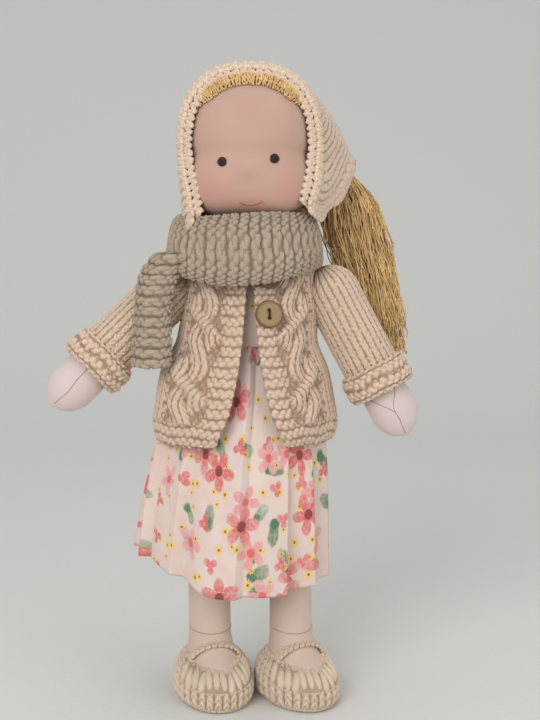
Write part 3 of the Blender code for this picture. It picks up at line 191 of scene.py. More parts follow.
class Finish:
    """A material in the making: its tree, its shader and the nodes that feed it."""

    def __init__(self, name: str, roughness: float, sheen: float = 0.0, specular: float = 0.5) -> None:
        """Start a material with one Principled shader.

        Args:
            name: The material's name.
            roughness: The shader's roughness.
            sheen: The sheen of its fibres.
            specular: The specular level.
        """
        self.material = bpy.data.materials.new(name)
        self.material.use_nodes = True
        self.tree = self.material.node_tree
        self.shader = self.tree.nodes["Principled BSDF"]
        self.shader.inputs["Roughness"].default_value = roughness
        self.shader.inputs["Sheen Weight"].default_value = sheen
        self.shader.inputs["Sheen Roughness"].default_value = 0.5
        self.shader.inputs["Specular IOR Level"].default_value = specular

    def node(self, kind: str, settings: dict | None = None, **values: object) -> bpy.types.Node:
        """Add a node.

        Args:
            kind: The node's type.
            settings: Its properties, which are set before its sockets.
            values: A value, or a socket to link, for each input; an underscore stands for a space.

        Returns:
            The node.
        """
        node = self.tree.nodes.new(kind)
        for key, value in (settings or {}).items():
            setattr(node, key, value)
        for key, value in values.items():
            entry = node.inputs[key.replace("_", " ")]
            if isinstance(value, Value):
                value = value.socket
            if isinstance(value, bpy.types.NodeSocket):
                self.tree.links.new(value, entry)
            else:
                entry.default_value = value
        return node

    def distance(self, place: bpy.types.NodeSocket, spot: tuple[float, float, float]) -> Value:
        """How far each place is from a spot.

        Args:
            place: The places.
            spot: The spot, in the object's own coordinates.

        Returns:
            The distances, in metres.
        """
        node = self.node("ShaderNodeVectorMath", {"operation": "DISTANCE"}, Vector=place)
        node.inputs[1].default_value = spot
        return Value(self.tree, node.outputs["Value"])

    def attribute(self, name: str) -> Value:
        """A number that the mesh carries at each point."""
        return Value(self.tree, self.node("ShaderNodeAttribute", {"attribute_name": name}).outputs["Fac"])

    def place(self) -> bpy.types.NodeSocket:
        """The object's own coordinates."""
        return self.node("ShaderNodeTexCoord").outputs["Object"]

    def flat(self) -> bpy.types.NodeSocket:
        """The piece's UV coordinates, in metres of cloth."""
        return self.node("ShaderNodeTexCoord").outputs["UV"]

    def parts(self, vector: bpy.types.NodeSocket) -> tuple[Value, Value, Value]:
        """The three numbers of a vector."""
        node = self.node("ShaderNodeSeparateXYZ", Vector=vector)
        return tuple(Value(self.tree, output) for output in node.outputs)

    def noise(self, vector: bpy.types.NodeSocket, scale: float, detail: float = 2.0) -> Value:
        """Soft noise.

        Args:
            vector: Where it is read.
            scale: Its features in each metre.
            detail: How many finer layers it has.

        Returns:
            The noise, about 0 to 1.
        """
        node = self.node("ShaderNodeTexNoise", Vector=vector, Scale=scale, Detail=detail)
        return Value(self.tree, node.outputs["Fac"])

    def mix(self, share: "Value | float", first: object, second: object) -> bpy.types.NodeSocket:
        """Mix two colours.

        Args:
            share: How much of the second colour shows.
            first: A colour or a socket.
            second: A colour or a socket.

        Returns:
            The mixed colour's socket.
        """
        node = self.tree.nodes.new("ShaderNodeMix")
        node.data_type = "RGBA"
        entries = [entry for entry in node.inputs if entry.enabled]
        for entry, value in zip(entries, (share, first, second)):
            if isinstance(value, Value):
                value = value.socket
            if isinstance(value, bpy.types.NodeSocket):
                self.tree.links.new(value, entry)
            elif entry.type == "RGBA":
                entry.default_value = (*value, 1.0)
            else:
                entry.default_value = value
        return next(output for output in node.outputs if output.enabled)

    def colour(self, value: bpy.types.NodeSocket) -> None:
        """Link the colour that the shader shows."""
        self.tree.links.new(value, self.shader.inputs["Base Color"])

    def bump(self, *layers: tuple[Value, float]) -> None:
        """Give the shader its relief.

        Args:
            layers: Pairs of a height from 0 to 1 and its depth in metres.
        """
        normal = None
        for height, depth in layers:
            values = {"Height": height, "Distance": depth, "Strength": 1.0}
            if normal is not None:
                values["Normal"] = normal
            normal = self.node("ShaderNodeBump", **values).outputs["Normal"]
        self.tree.links.new(normal, self.shader.inputs["Normal"])


@dataclass(frozen=True)
class Yarn:
    """Plied wool yarn, with painted shade that darkens it between the stitches and leaves it lighter where they
    stand out.
    """

    name: str
    light: Colour
    # The dark colour is painted shade for the hollows between stitches.
    dark: Colour
    fleck: Colour
    fibre: float = 0.00022
    swell: float = 0.0007
    ply: tuple[float, float] = (0.0011, 0.0016)

    def make(self) -> bpy.types.Material:
        """Make the yarn's material.

        Returns:
            The material.
        """
        finish = Finish(self.name, 0.92, sheen=0.25, specular=0.15)
        place = finish.place()
        relief = finish.attribute("relief")
        drift = finish.noise(place, 60.0)
        speck = finish.noise(place, 900.0, 3.0)
        # Painted shade: where the stitches' relief is low, between them, the yarn takes its dark colour.
        tone = finish.mix(relief.step(0.0, 0.50), self.dark, self.light)
        tone = finish.mix(speck.step(0.52, 0.80) * 0.38, tone, self.fleck)
        tone = finish.mix(drift.step(0.35, 0.75) * 0.22, tone, tuple(0.86 * part for part in self.light))
        finish.colour(tone)
        across, along, _ = finish.parts(finish.flat())
        ply = (across * (2 * pi / self.ply[0]) + along * (2 * pi / self.ply[1])).sin() * 0.5 + 0.5
        finish.bump((relief, self.swell), (ply, self.fibre), (finish.noise(place, 2400.0, 3.0), self.fibre * 2))
        return finish.material


@dataclass(frozen=True)
class Jersey:
    """Fine stretched cotton jersey, with a flush on the cheeks and the chin where it is a face.

    Each flushed spot has its place sideways, its height and its reach. A wale has its width and its row's height.
    """

    name: str
    tone: Colour
    shade: Colour
    flush: Colour | None = None
    flushed: tuple[tuple[float, float, float], ...] = (
        (0.0205, 0.2900, 0.0170), (-0.0200, 0.2895, 0.0180), (0.0, 0.2800, 0.0150))
    wale: tuple[float, float] = (0.0008, 0.0011)

    def make(self) -> bpy.types.Material:
        """Make the jersey's material.

        Returns:
            The material.
        """
        finish = Finish(self.name, 0.78, sheen=0.35, specular=0.25)
        place = finish.place()
        mottle = finish.noise(place, 38.0, 3.0)
        tone = finish.mix(mottle.step(0.35, 0.70) * 0.5, self.tone, self.shade)
        if self.flush is not None:
            for x, z, reach in self.flushed:
                near = finish.distance(place, (AXIS[0] + x, -0.0300, z)).step(reach, 0.0)
                tone = finish.mix(near * 0.75, tone, self.flush)
        finish.colour(tone)
        sideways, _, upwards = finish.parts(place)
        rows = (upwards * (2 * pi / self.wale[1])).sin()
        wales = (sideways * (2 * pi / self.wale[0])).sin() * rows * 0.5 + 0.5
        finish.bump((wales, 0.00003), (finish.noise(place, 1500.0), 0.00006))
        return finish.material


@dataclass(frozen=True)
class Curls:
    """Golden curled yarn, with painted shade for the gaps between its strands, laid as dark blotches by noise."""

    name: str
    light: Colour
    middle: Colour
    dark: Colour

    def make(self) -> bpy.types.Material:
        """Make the hair's material.

        Returns:
            The material.
        """
        finish = Finish(self.name, 0.62, sheen=0.4, specular=0.35)
        place = finish.place()
        broad = finish.noise(place, 110.0, 2.0)
        fine = finish.noise(place, 1300.0, 2.0)
        # Painted shade: broad noise lays the dark colour as the gaps between strands.
        tone = finish.mix(broad.step(0.30, 0.72), self.dark, self.middle)
        tone = finish.mix(fine.step(0.48, 0.78), tone, self.light)
        finish.colour(tone)
        finish.bump((finish.noise(place, 2600.0, 3.0), 0.0005))
        return finish.material


@dataclass(frozen=True)
class Stuff:
    """A plain fibre, such as stuffing wool or sewing thread."""

    name: str
    tone: Colour
    shade: Colour
    grain: float = 900.0
    depth: float = 0.0002

    def make(self) -> bpy.types.Material:
        """Make the fibre's material.

        Returns:
            The material.
        """
        finish = Finish(self.name, 0.85, sheen=0.2, specular=0.2)
        place = finish.place()
        grain = finish.noise(place, self.grain, 3.0)
        finish.colour(finish.mix(grain.step(0.35, 0.70), self.shade, self.tone))
        finish.bump((grain, self.depth))
        return finish.material


@dataclass(frozen=True)
class Timber:
    """Turned wood with thin rings of grain, darker at the rim."""

    name: str
    light: Colour
    dark: Colour
    centre: tuple[float, float, float]
    radius: float

    def make(self) -> bpy.types.Material:
        """Make the wood's material.

        Returns:
            The material.
        """
        finish = Finish(self.name, 0.42, specular=0.45)
        place = finish.place()
        warp = finish.noise(place, 160.0, 3.0)
        sideways, _, upwards = finish.parts(place)
        grain = ((upwards + sideways * 0.35 + warp * 0.0016) * (2 * pi / 0.0011)).sin() * 0.5 + 0.5
        tone = finish.mix(grain * 0.65, self.light, self.dark)
        rim = finish.distance(place, self.centre).step(self.radius * 0.82, self.radius)
        tone = finish.mix(rim * 0.8, tone, tuple(0.35 * part for part in self.dark))
        finish.colour(tone)
        finish.bump((grain, 0.00005))
        return finish.material


@dataclass(frozen=True)
class Print:
    """Thin cotton with scattered flowers, buds and leaves as if painted in water colours."""

    name: str
    ground: Colour
    blush: Colour
    coral: Colour
    rose: Colour
    yellow: Colour
    leaf: Colour
    moss: Colour
    ink: Colour

    def blossom(
        self, finish: Finish, offset: tuple[float, float], size: float, petals: int, reach: float,
        keep: float, sharp: float,
    ) -> tuple[Value, Value, Value, Value]:
        """Scatter one kind of flower over the cloth.

        Args:
            finish: The material in the making.
            offset: Where this kind's scatter starts.
            size: The size of each flower's field, in metres.
            petals: How many petals it has.
            reach: The petals' length, in metres.
            keep: How many of the fields stay bare, from 0 to 1.
            sharp: How narrow the petals are.

        Returns:
            The masks of the petals and of the centre, the shade along a petal, and a number of its own.
        """
        shift = finish.node(
            "ShaderNodeMapping", Vector=finish.flat(), Location=(*offset, 0.0),
            Scale=(1 / size, 1 / size, 1 / size))
        cells = finish.node(
            "ShaderNodeTexVoronoi", {"voronoi_dimensions": "2D"},
            Vector=shift.outputs["Vector"], Scale=1.0, Randomness=0.72)
        away = finish.node(
            "ShaderNodeVectorMath", {"operation": "SUBTRACT"}, Vector=shift.outputs["Vector"])
        finish.tree.links.new(cells.outputs["Position"], away.inputs[1])
        x, y, _ = finish.parts(away.outputs["Vector"])
        own, second, _ = finish.parts(cells.outputs["Color"])
        distance = (x * x + y * y) ** 0.5
        turn = y.math("ARCTAN2", x) + own * 6.0
        wobble = finish.noise(shift.outputs["Vector"], 3.2, 2.0)
        lobes = (turn * float(petals)).math("COSINE")
        wave = lobes.math("ABSOLUTE") if petals % 2 == 0 else lobes * 0.5 + 0.5
        edge = reach / size
        outline = (wave ** sharp) * (edge * 0.66) + wobble * (edge * 0.50) + edge * 0.10
        kept = second > keep
        petal = (outline - distance).step(0.0, edge * 0.16) * kept
        heart = (edge * 0.20 + wobble * (edge * 0.12) - distance).step(0.0, edge * 0.06) * kept
        return petal, heart, (distance / edge).clamp(), own

    def make(self) -> bpy.types.Material:
        """Make the printed cotton's material.

        Returns:
            The material.
        """
        finish = Finish(self.name, 0.74, sheen=0.12, specular=0.25)
        flat = finish.flat()
        wash = finish.noise(flat, 70.0, 2.0)
        tone = finish.mix(wash.step(0.40, 0.66) * 0.5, self.ground, self.blush)
        # Each row: where its scatter starts, field size, petals, reach, share left bare, narrowness, petal, centre.
        sprigs = (
            ((0.31, 0.17), 0.0300, 1, 0.0128, 0.56, 9.0, self.leaf, self.leaf),
            ((0.73, 0.57), 0.0210, 1, 0.0096, 0.68, 7.0, self.moss, self.leaf),
            ((0.83, 0.41), 0.0070, 4, 0.0027, 0.82, 0.6, self.yellow, self.ink),
            ((0.41, 0.93), 0.0100, 6, 0.0037, 0.76, 0.7, self.yellow, self.ink),
            ((0.52, 0.77), 0.0220, 3, 0.0055, 0.56, 0.5, self.coral, self.rose),
            ((0.11, 0.63), 0.0280, 5, 0.0106, 0.44, 0.4, self.rose, self.coral),
            ((0.67, 0.29), 0.0340, 5, 0.0128, 0.34, 0.4, self.coral, self.ink),
        )
        brush = finish.noise(flat, 420.0, 2.0)
        for offset, size, petals, reach, keep, sharp, outer, centre in sprigs:
            petal, heart, along, own = self.blossom(finish, offset, size, petals, reach, keep, sharp)
            pale = tuple(0.40 * part + 0.60 * white for part, white in zip(outer, self.ground))
            washed = along.step(0.10, 0.95) * (own * 0.5 + 0.15) + brush.step(0.42, 0.66) * 0.45
            shaded = finish.mix(washed.clamp(), outer, pale)
            tone = finish.mix(petal * 0.90, tone, shaded)
            tone = finish.mix(heart * 0.75, tone, centre)
        finish.colour(tone)
        across, along, _ = finish.parts(flat)
        weave = (across * (2 * pi / 0.0005)).sin() * (along * (2 * pi / 0.0005)).sin() * 0.5 + 0.5
        finish.bump((weave, 0.00003), (finish.noise(flat, 120.0, 2.0), 0.0004))
        return finish.material


# The second colour of each yarn is painted shade for the hollows between its stitches.
YARN_CREAM = Yarn("cream_peach_yarn", (0.80, 0.60, 0.45), (0.34, 0.20, 0.125), (0.96, 0.84, 0.73))
YARN_HOOD = Yarn("pale_peach_yarn", (0.86, 0.68, 0.53), (0.44, 0.27, 0.175), (0.96, 0.88, 0.80))
YARN_SHOE = Yarn("beige_yarn", (0.83, 0.66, 0.50), (0.42, 0.29, 0.20), (0.95, 0.85, 0.73))
YARN_OAT = Yarn("oatmeal_yarn", (0.485, 0.38, 0.278), (0.15, 0.108, 0.076), (0.78, 0.69, 0.57))
FACE_JERSEY = Jersey("face_jersey", (0.51, 0.325, 0.258), (0.475, 0.292, 0.232), (0.56, 0.28, 0.23))
HAND_JERSEY = Jersey("hand_jersey", (0.65, 0.535, 0.51), (0.61, 0.49, 0.455))
LIMB_JERSEY = Jersey("limb_jersey", (0.63, 0.485, 0.405), (0.59, 0.44, 0.36))
GOLD_CURLS = Curls("golden_curls", (1.0, 0.80, 0.42), (0.88, 0.58, 0.23), (0.58, 0.33, 0.10))
WOOL_STUFF = Stuff("carded_wool", (0.86, 0.82, 0.74), (0.74, 0.69, 0.60), 500.0, 0.0006)
PALE_THREAD = Stuff("pale_thread", (0.80, 0.72, 0.62), (0.62, 0.53, 0.44))
SEAM_THREAD = Stuff("seam_thread", (0.40, 0.26, 0.20), (0.26, 0.16, 0.12))
EYE_THREAD = Stuff("eye_thread", (0.045, 0.026, 0.016), (0.016, 0.010, 0.008), 1600.0)
MOUTH_THREAD = Stuff("mouth_thread", (0.40, 0.155, 0.13), (0.30, 0.11, 0.09), 1600.0)
FLORAL = Print(
    "flowered_cotton", (0.72, 0.59, 0.53), (0.71, 0.50, 0.46), (0.66, 0.10, 0.10), (0.74, 0.28, 0.28),
    (0.78, 0.52, 0.06), (0.075, 0.19, 0.09), (0.22, 0.33, 0.20), (0.13, 0.03, 0.035))


# Knitted relief


def chance(first: Array, second: Array, kind: float) -> Array:
    """A number from 0 to 1 that belongs to a stitch.

    Args:
        first: The stitch's column.
        second: Its row.
        kind: Which of its numbers this is.

    Returns:
        The numbers.
    """
    return np.abs(np.sin(first * 12.9898 + second * 78.233 + kind * 37.719) * 43758.5453) % 1.0


def lattice(
    across: Array, along: Array, cell: tuple[float, float], centre: tuple[float, float], lean: float,
    half: tuple[float, float],
) -> Array:
    """Height of the rounded bumps of a lattice, each a little unlike the others.

    Args:
        across: Places across the cloth, in metres.
        along: Places along the cloth, in metres.
        cell: Width and height of each cell.
        centre: The bump's place in its cell, in shares.
        lean: How far the bump leans, in radians.
        half: Half width and half length of the bump.

    Returns:
        The height at each place, from 0 to 1.
    """
    u = across / cell[0] - centre[0]
    v = along / cell[1] - centre[1]
    near_u = (u - np.round(u)) * cell[0]
    near_v = (v - np.round(v)) * cell[1]
    height = np.zeros_like(across)
    for step_u in (-1, 0, 1):
        for step_v in (-1, 0, 1):
            column = np.round(u) + step_u
            row = np.round(v) + step_v
            x = near_u - step_u * cell[0] + (chance(column, row, 1.0) - 0.5) * 0.14 * cell[0]
            y = near_v - step_v * cell[1] + (chance(column, row, 2.0) - 0.5) * 0.20 * cell[1]
            turn = lean + (chance(column, row, 3.0) - 0.5) * 0.34
            wide = x * np.cos(turn) + y * np.sin(turn)
            long = y * np.cos(turn) - x * np.sin(turn)
            left = 1 - (wide / half[0]) ** 2 - (long / half[1]) ** 2
            peak = 0.78 + 0.22 * chance(column, row, 4.0)
            height = np.maximum(height, peak * np.sqrt(np.clip(left, 0, None)))
    return height


def stockinette(across: Array, along: Array, width: float = STITCH_WIDTH, height: float = STITCH_HEIGHT) -> Array:
    """Columns of V stitches.

    Args:
        across: Places across the columns.
        along: Places along the columns.
        width: A column's width.
        height: A row's height.

    Returns:
        The height at each place, from 0 to 1.
    """
    half = (0.165 * width, 0.68 * height)
    left = lattice(across, along, (width, height), (0.31, 0.5), -0.34, half)
    right = lattice(across, along, (width, height), (0.69, 0.5), 0.34, half)
    column = np.abs(np.sin(pi * across / width)) ** 0.7
    return 0.66 * np.maximum(left, right) + 0.34 * column


def garter(across: Array, along: Array, width: float = STITCH_WIDTH, height: float = RIDGE_HEIGHT) -> Array:
    """Ridges of purl bumps that run across the cloth.

    Args:
        across: Places along the ridges.
        along: Places from ridge to ridge.
        width: A stitch's width.
        height: The pitch of the ridges.

    Returns:
        The height at each place, from 0 to 1.
    """
    sway = along + 0.10 * height * np.sin(across * 2 * pi / (5.3 * width))
    half = (0.42 * width, 0.235 * height)
    upper = lattice(across, sway, (width, height), (0.50, 0.71), 0.36, half)
    lower = lattice(across, sway, (width, height), (0.00, 0.31), -0.36, half)
    ridge = np.sqrt(np.abs(np.sin(pi * sway / height)))
    return 0.74 * np.maximum(upper, lower) + 0.26 * ridge


def cable(across: Array, along: Array, half_width: float, pitch: float) -> Array:
    """Two plump strands that cross again and again.

    Args:
        across: Places from the cable's middle.
        along: Places along it.
        half_width: Half of the cable's width.
        pitch: The length of a whole twist.

    Returns:
        The height at each place, from 0 to 1.
    """
    height = np.zeros_like(across)
    for sign in (1, -1):
        turn = 2 * pi * along / pitch
        middle = sign * 0.52 * half_width * np.sin(turn)
        over = 0.74 + 0.26 * sign * np.cos(turn)
        wide = (across - middle) / (0.48 * half_width)
        rope = np.sqrt(np.clip(1 - wide ** 2, 0, None)) * over
        height = np.maximum(height, rope)
    return height


# Mesh tools


def follow(places: Sequence[float], values: Sequence[float], at: Array) -> Array:
    """A smooth line through a table.

    Args:
        places: The table's places, rising.
        values: The value at each place.
        at: Where the line is read.

    Returns:
        The line's values.
    """
    xs = np.asarray(places, float)
    ys = np.asarray(values, float)
    rates = np.diff(ys) / np.diff(xs)
    before, after = rates[:-1], rates[1:]
    level = before * after <= 0
    inner = np.where(level, 0.0, 2 * before * after / np.where(level, 1.0, before + after))
    slopes = np.concatenate((rates[:1], inner, rates[-1:]))
    held = np.clip(at, xs[0], xs[-1])
    i = np.clip(np.searchsorted(xs, held) - 1, 0, len(xs) - 2)
    step = xs[i + 1] - xs[i]
    t = (held - xs[i]) / step
    ends = ys[i] * (2 * t ** 3 - 3 * t ** 2 + 1) + ys[i + 1] * (3 * t ** 2 - 2 * t ** 3)
    return ends + step * (slopes[i] * (t ** 3 - 2 * t ** 2 + t) + slopes[i + 1] * (t ** 3 - t ** 2))


def ramp(values: Array, low: float, high: float) -> Array:
    """Rise smoothly from 0 at low to 1 at high.

    Args:
        values: Where the ramp is read.
        low: Where it begins.
        high: Where it ends.

    Returns:
        The ramp's values.
    """
    t = np.clip((values - low) / (high - low), 0, 1)
    return t * t * (3 - 2 * t)


def points_of(x: Array | float, y: Array | float, z: Array | float) -> Array:
    """Put three arrays of numbers together as points."""
    return np.stack(np.broadcast_arrays(x, y, z), axis=-1).astype(float)


def unit(vectors: Array) -> Array:
    """Vectors drawn out or in to the length 1."""
    return vectors / np.linalg.norm(vectors, axis=-1, keepdims=True)


def squared(turn: Array, power: float) -> tuple[Array, Array]:
    """The two sides of a circle that is pressed towards a square.

    Args:
        turn: Turns round it.
        power: 1 for a circle, and less for a squarer form.

    Returns:
        The places sideways and upwards, from -1 to 1.
    """
    return (np.sign(np.cos(turn)) * np.abs(np.cos(turn)) ** power,
            np.sign(np.sin(turn)) * np.abs(np.sin(turn)) ** power)


def finish_object(name: str, mesh: bpy.types.Mesh, material: bpy.types.Material) -> bpy.types.Object:
    """Make an object of a mesh, smooth and with its material.

    Args:
        name: The object's name.
        mesh: Its mesh.
        material: Its material.

    Returns:
        The object, linked to the scene.
    """
    piece = bpy.data.objects.new(name, mesh)
    bpy.context.scene.collection.objects.link(piece)
    mesh.materials.clear()
    mesh.materials.append(material)
    mesh.polygons.foreach_set("use_smooth", np.ones(len(mesh.polygons), bool))
    return piece


@dataclass
class Panel:
    """A grid of cells that is laid over a form and raised by the relief of its cloth.

    Its shape, relief and shade are read at shares of its columns and rows, the last two times its size. The relief
    times the depth raises the cloth, and the shade, or the relief where there is none, tells its material what
    stands out, so that it paints shade in the hollows between the stitches. The centre is a point that the panel's
    outside faces away from.
    """

    name: str
    columns: int
    rows: int
    shape: Shape
    relief: Relief | None = None
    shade: Relief | None = None
    depth: float = 0.0
    size: tuple[float, float] = (1.0, 1.0)
    centre: tuple[float, float, float] | None = None
    closed: bool = True
    thickness: float = 0.0

    def lay(self, u: Array, v: Array) -> Array:
        """Points of the form at shares of its two directions."""
        return self.shape(np.clip(u, 0, 1), np.clip(v, 0, 1))

    def normals(self, u: Array, v: Array) -> Array:
        """Directions square to the form, off its poles.

        Args:
            u: Shares of the first direction.
            v: Shares of the second one.

        Returns:
            The directions, of length 1.
        """
        normal = self.faces(u, np.clip(v, 0.004, 0.996))
        return normal / np.maximum(np.linalg.norm(normal, axis=1, keepdims=True), 1e-12)

    def faces(self, u: Array, v: Array) -> Array:
        """Where the grid's own faces point, once they are laid.

        Args:
            u: Shares of the first direction.
            v: Shares of the second one.

        Returns:
            The directions, of any length.
        """
        across = self.lay(u + NUDGE, v) - self.lay(u - NUDGE, v)
        along = self.lay(u, v + NUDGE) - self.lay(u, v - NUDGE)
        return np.cross(across, along)

    def build(self, material: bpy.types.Material) -> bpy.types.Object:
        """Make the piece.

        Args:
            material: The piece's material.

        Returns:
            The piece, in world coordinates.
        """
        grid = bmesh.new()
        grid.loops.layers.uv.new("UVMap")
        bmesh.ops.create_grid(grid, x_segments=self.columns, y_segments=self.rows, size=1, calc_uvs=True)
        mesh = bpy.data.meshes.new(self.name)
        grid.to_mesh(mesh)
        spots = np.empty(len(mesh.vertices) * 3)
        mesh.vertices.foreach_get("co", spots)
        spots = spots.reshape(-1, 3)
        u = (spots[:, 0] + 1) / 2
        v = (spots[:, 1] + 1) / 2
        base = self.lay(u, v)
        normal = self.normals(u, v)
        centre = base.mean(axis=0) if self.centre is None else np.asarray(self.centre)
        inside_out = float(np.einsum("ij,ij->i", normal, base - centre).mean()) < 0
        if inside_out:
            normal = -normal
        height = np.zeros(len(u)) if self.relief is None else self.relief(u * self.size[0], v * self.size[1])
        places = base + normal * (height * self.depth)[:, None] + AXIS
        mesh.vertices.foreach_set("co", places.ravel())
        # The tone carried as the relief attribute tells the yarn where to paint shade between the stitches.
        tone = height if self.shade is None else self.shade(u * self.size[0], v * self.size[1])
        shares = mesh.attributes.new("relief", "FLOAT", "POINT")
        shares.data.foreach_set("value", tone)
        flat = np.empty(len(mesh.loops) * 2)
        mesh.uv_layers[0].data.foreach_get("uv", flat)
        mesh.uv_layers[0].data.foreach_set("uv", (flat.reshape(-1, 2) * np.asarray(self.size)).ravel())
        grid.clear()
        grid.from_mesh(mesh)
        if self.closed:
            bmesh.ops.remove_doubles(grid, verts=grid.verts, dist=0.000002)
        # The grid faces +Z before it is laid, so its faces turn with the two directions.
        if float(np.einsum("ij,ij->i", self.faces(u, v), normal).mean()) < 0:
            bmesh.ops.reverse_faces(grid, faces=grid.faces)
        grid.to_mesh(mesh)
        grid.free()
        piece = finish_object(self.name, mesh, material)
        if self.thickness:
            wall = piece.modifiers.new("thickness", "SOLIDIFY")
            wall.thickness = self.thickness
            wall.offset = -1
        return piece


@dataclass
class Threads:
    """Round threads or strands of yarn, each through a line of points from the body's axis."""

    name: str
    radius: float
    sides: int = 1
    lines: list[Array] = field(default_factory=list)

    def build(self, material: bpy.types.Material) -> bpy.types.Object:
        """Make one piece of all the threads.

        Args:
            material: The threads' material.

        Returns:
            The piece.
        """
        curve = bpy.data.curves.new(self.name, "CURVE")
        curve.dimensions = "3D"
        curve.bevel_depth = self.radius
        curve.bevel_resolution = self.sides
        curve.use_fill_caps = True
        for line in self.lines:
            spline = curve.splines.new("POLY")
            spline.points.add(len(line) - 1)
            knots = np.column_stack((line + AXIS, np.ones(len(line))))
            spline.points.foreach_set("co", knots.ravel())
        holder = bpy.data.objects.new(self.name + "_line", curve)
        bpy.context.scene.collection.objects.link(holder)
        graph = bpy.context.evaluated_depsgraph_get()
        mesh = bpy.data.meshes.new_from_object(holder.evaluated_get(graph))
        bpy.data.objects.remove(holder, do_unlink=True)
        mesh.name = self.name
        return finish_object(self.name, mesh, material)


@dataclass
class Beads:
    """Small rounded stitches of crochet, each an oval of its own place, turn and size."""

    name: str
    cells: tuple[int, int] = (8, 6)
    places: list[Matrix] = field(default_factory=list)

    def add(self, centre: Array, along: Array, outward: Array, half: tuple[float, float, float]) -> None:
        """Add a stitch.

        Args:
            centre: Its middle.
            along: The direction of its length.
            outward: The direction of its thickness.
            half: Half its length, width and thickness.
        """
        long = Vector(along).normalized()
        thick = (Vector(outward) - long * Vector(outward).dot(long)).normalized()
        wide = thick.cross(long)
        turn = Matrix((wide, long, thick)).transposed().to_4x4()
        scale = Matrix.Diagonal((half[1], half[0], half[2], 1))
        self.places.append(Matrix.Translation(Vector(centre + AXIS)) @ turn @ scale)

    def build(self, material: bpy.types.Material) -> bpy.types.Object:
        """Make one piece of all the stitches.

        Args:
            material: The stitches' material.

        Returns:
            The piece.
        """
        across, along = self.cells
        grid = bmesh.new()
        for place in self.places:
            bmesh.ops.create_uvsphere(grid, u_segments=across, v_segments=along, radius=1, matrix=place)
        mesh = bpy.data.meshes.new(self.name)
        grid.to_mesh(mesh)
        grid.free()
        shares = mesh.attributes.new("relief", "FLOAT", "POINT")
        pattern = bmesh.new()
        bmesh.ops.create_uvsphere(pattern, u_segments=across, v_segments=along, radius=1)
        # Painted shade: each stitch is darkest where it sinks towards the cloth and lightest at its crown.
        heights = [0.26 + 0.36 * max(vertex.co.z, 0.0) for vertex in pattern.verts]
        pattern.free()
        shares.data.foreach_set("value", heights * len(self.places))
        return finish_object(self.name, mesh, material)


def put_on(piece: bpy.types.Object, body: str, *nodes: str) -> None:
    """Let a piece ride on a body and stand for the frame's nodes.

    Args:
        piece: The piece.
        body: The body's name.
        nodes: The nodes that it replaces.
    """
    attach(piece, body)
    if nodes:
        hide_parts(*nodes)
    log.info("%s rides on %s", piece.name, body)


# The doll's own forms

TORSO_PLACES = (0.0, 0.05, 0.15, 0.30, 0.50, 0.70, 0.80, 0.88, 0.94, 1.0)
TORSO_WIDTHS = (0.84, 0.95, 1.0, 1.0, 0.95, 0.965, 0.895, 0.74, 0.57, 0.442)
TORSO_DEPTHS = (0.80, 0.93, 1.0, 1.0, 0.98, 0.93, 0.83, 0.73, 0.65, 0.615)


def torso_sizes(height: Array) -> tuple[Array, Array]:
    """Half width and half depth of the stuffed torso.

    Args:
        height: Heights over the floor.

    Returns:
        The half widths and the half depths.
    """
    share = (height - TORSO_BOTTOM) / TORSO_HEIGHT
    width, depth = TORSO_HALF
    return width * follow(TORSO_PLACES, TORSO_WIDTHS, share), depth * follow(TORSO_PLACES, TORSO_DEPTHS, share)


def limb_axes(side: Side) -> tuple[Array, Array, Array, Array]:
    """An arm's shoulder and its three directions.

    Args:
        side: The arm's side.

    Returns:
        The shoulder, the arm's direction, and the directions across and along its section.
    """
    out, forward = (radians(28), radians(8)) if side is Side.LEFT else (radians(46), radians(12))
    sign = side.value
    direction = Vector((sign * sin(out) * cos(forward), -sin(forward), -cos(out) * cos(forward)))
    across = direction.cross(Vector((0, 1, 0))).normalized()
    shoulder = np.array([sign * SHOULDER_OFFSET, 0.0, SHOULDER_HEIGHT])
    return shoulder, np.array(direction), np.array(across), np.array(direction.cross(across))


def skull(way: Array, lift: float | Array) -> Array:
    """Points over the head's rounded form, which is fuller at the jaw.

    Args:
        way: Directions from the head's centre.
        lift: How far the points stand off the head.

    Returns:
        The points, from the head's centre.
    """
    half = HEAD_HALF + np.reshape(lift, (-1, 1))
    power = 2.42 + 1.3 * ramp(-way[:, 2], 0.1, 0.7)
    reach = (np.abs(way / half) ** power[:, None]).sum(axis=1) ** (-1 / power)
    return way * reach[:, None]


def bonnet(turn: Array, back: Array, lift: float | Array, straight: float = radians(96)) -> Array:
    """Points of a bonnet round the head, whose sides hang straight down below the ears.

    Args:
        turn: Turns from the crown, positive to the left.
        back: Turns from the face to the back of the head.
        lift: How far it stands off the head.
        straight: The turn from which the sides hang.

    Returns:
        The points, from the head's centre.
    """
    held = np.clip(turn, -straight, straight)
    more = np.abs(turn) - np.abs(held)
    spot = skull(points_of(np.sin(back) * np.sin(held), -np.cos(back), np.sin(back) * np.cos(held)), lift)
    spot[:, 2] -= more * 0.046 * np.sin(np.minimum(back, pi / 2))
    spot[:, 0] *= 1 - 0.09 * (more / radians(53)) ** 1.5
    return spot


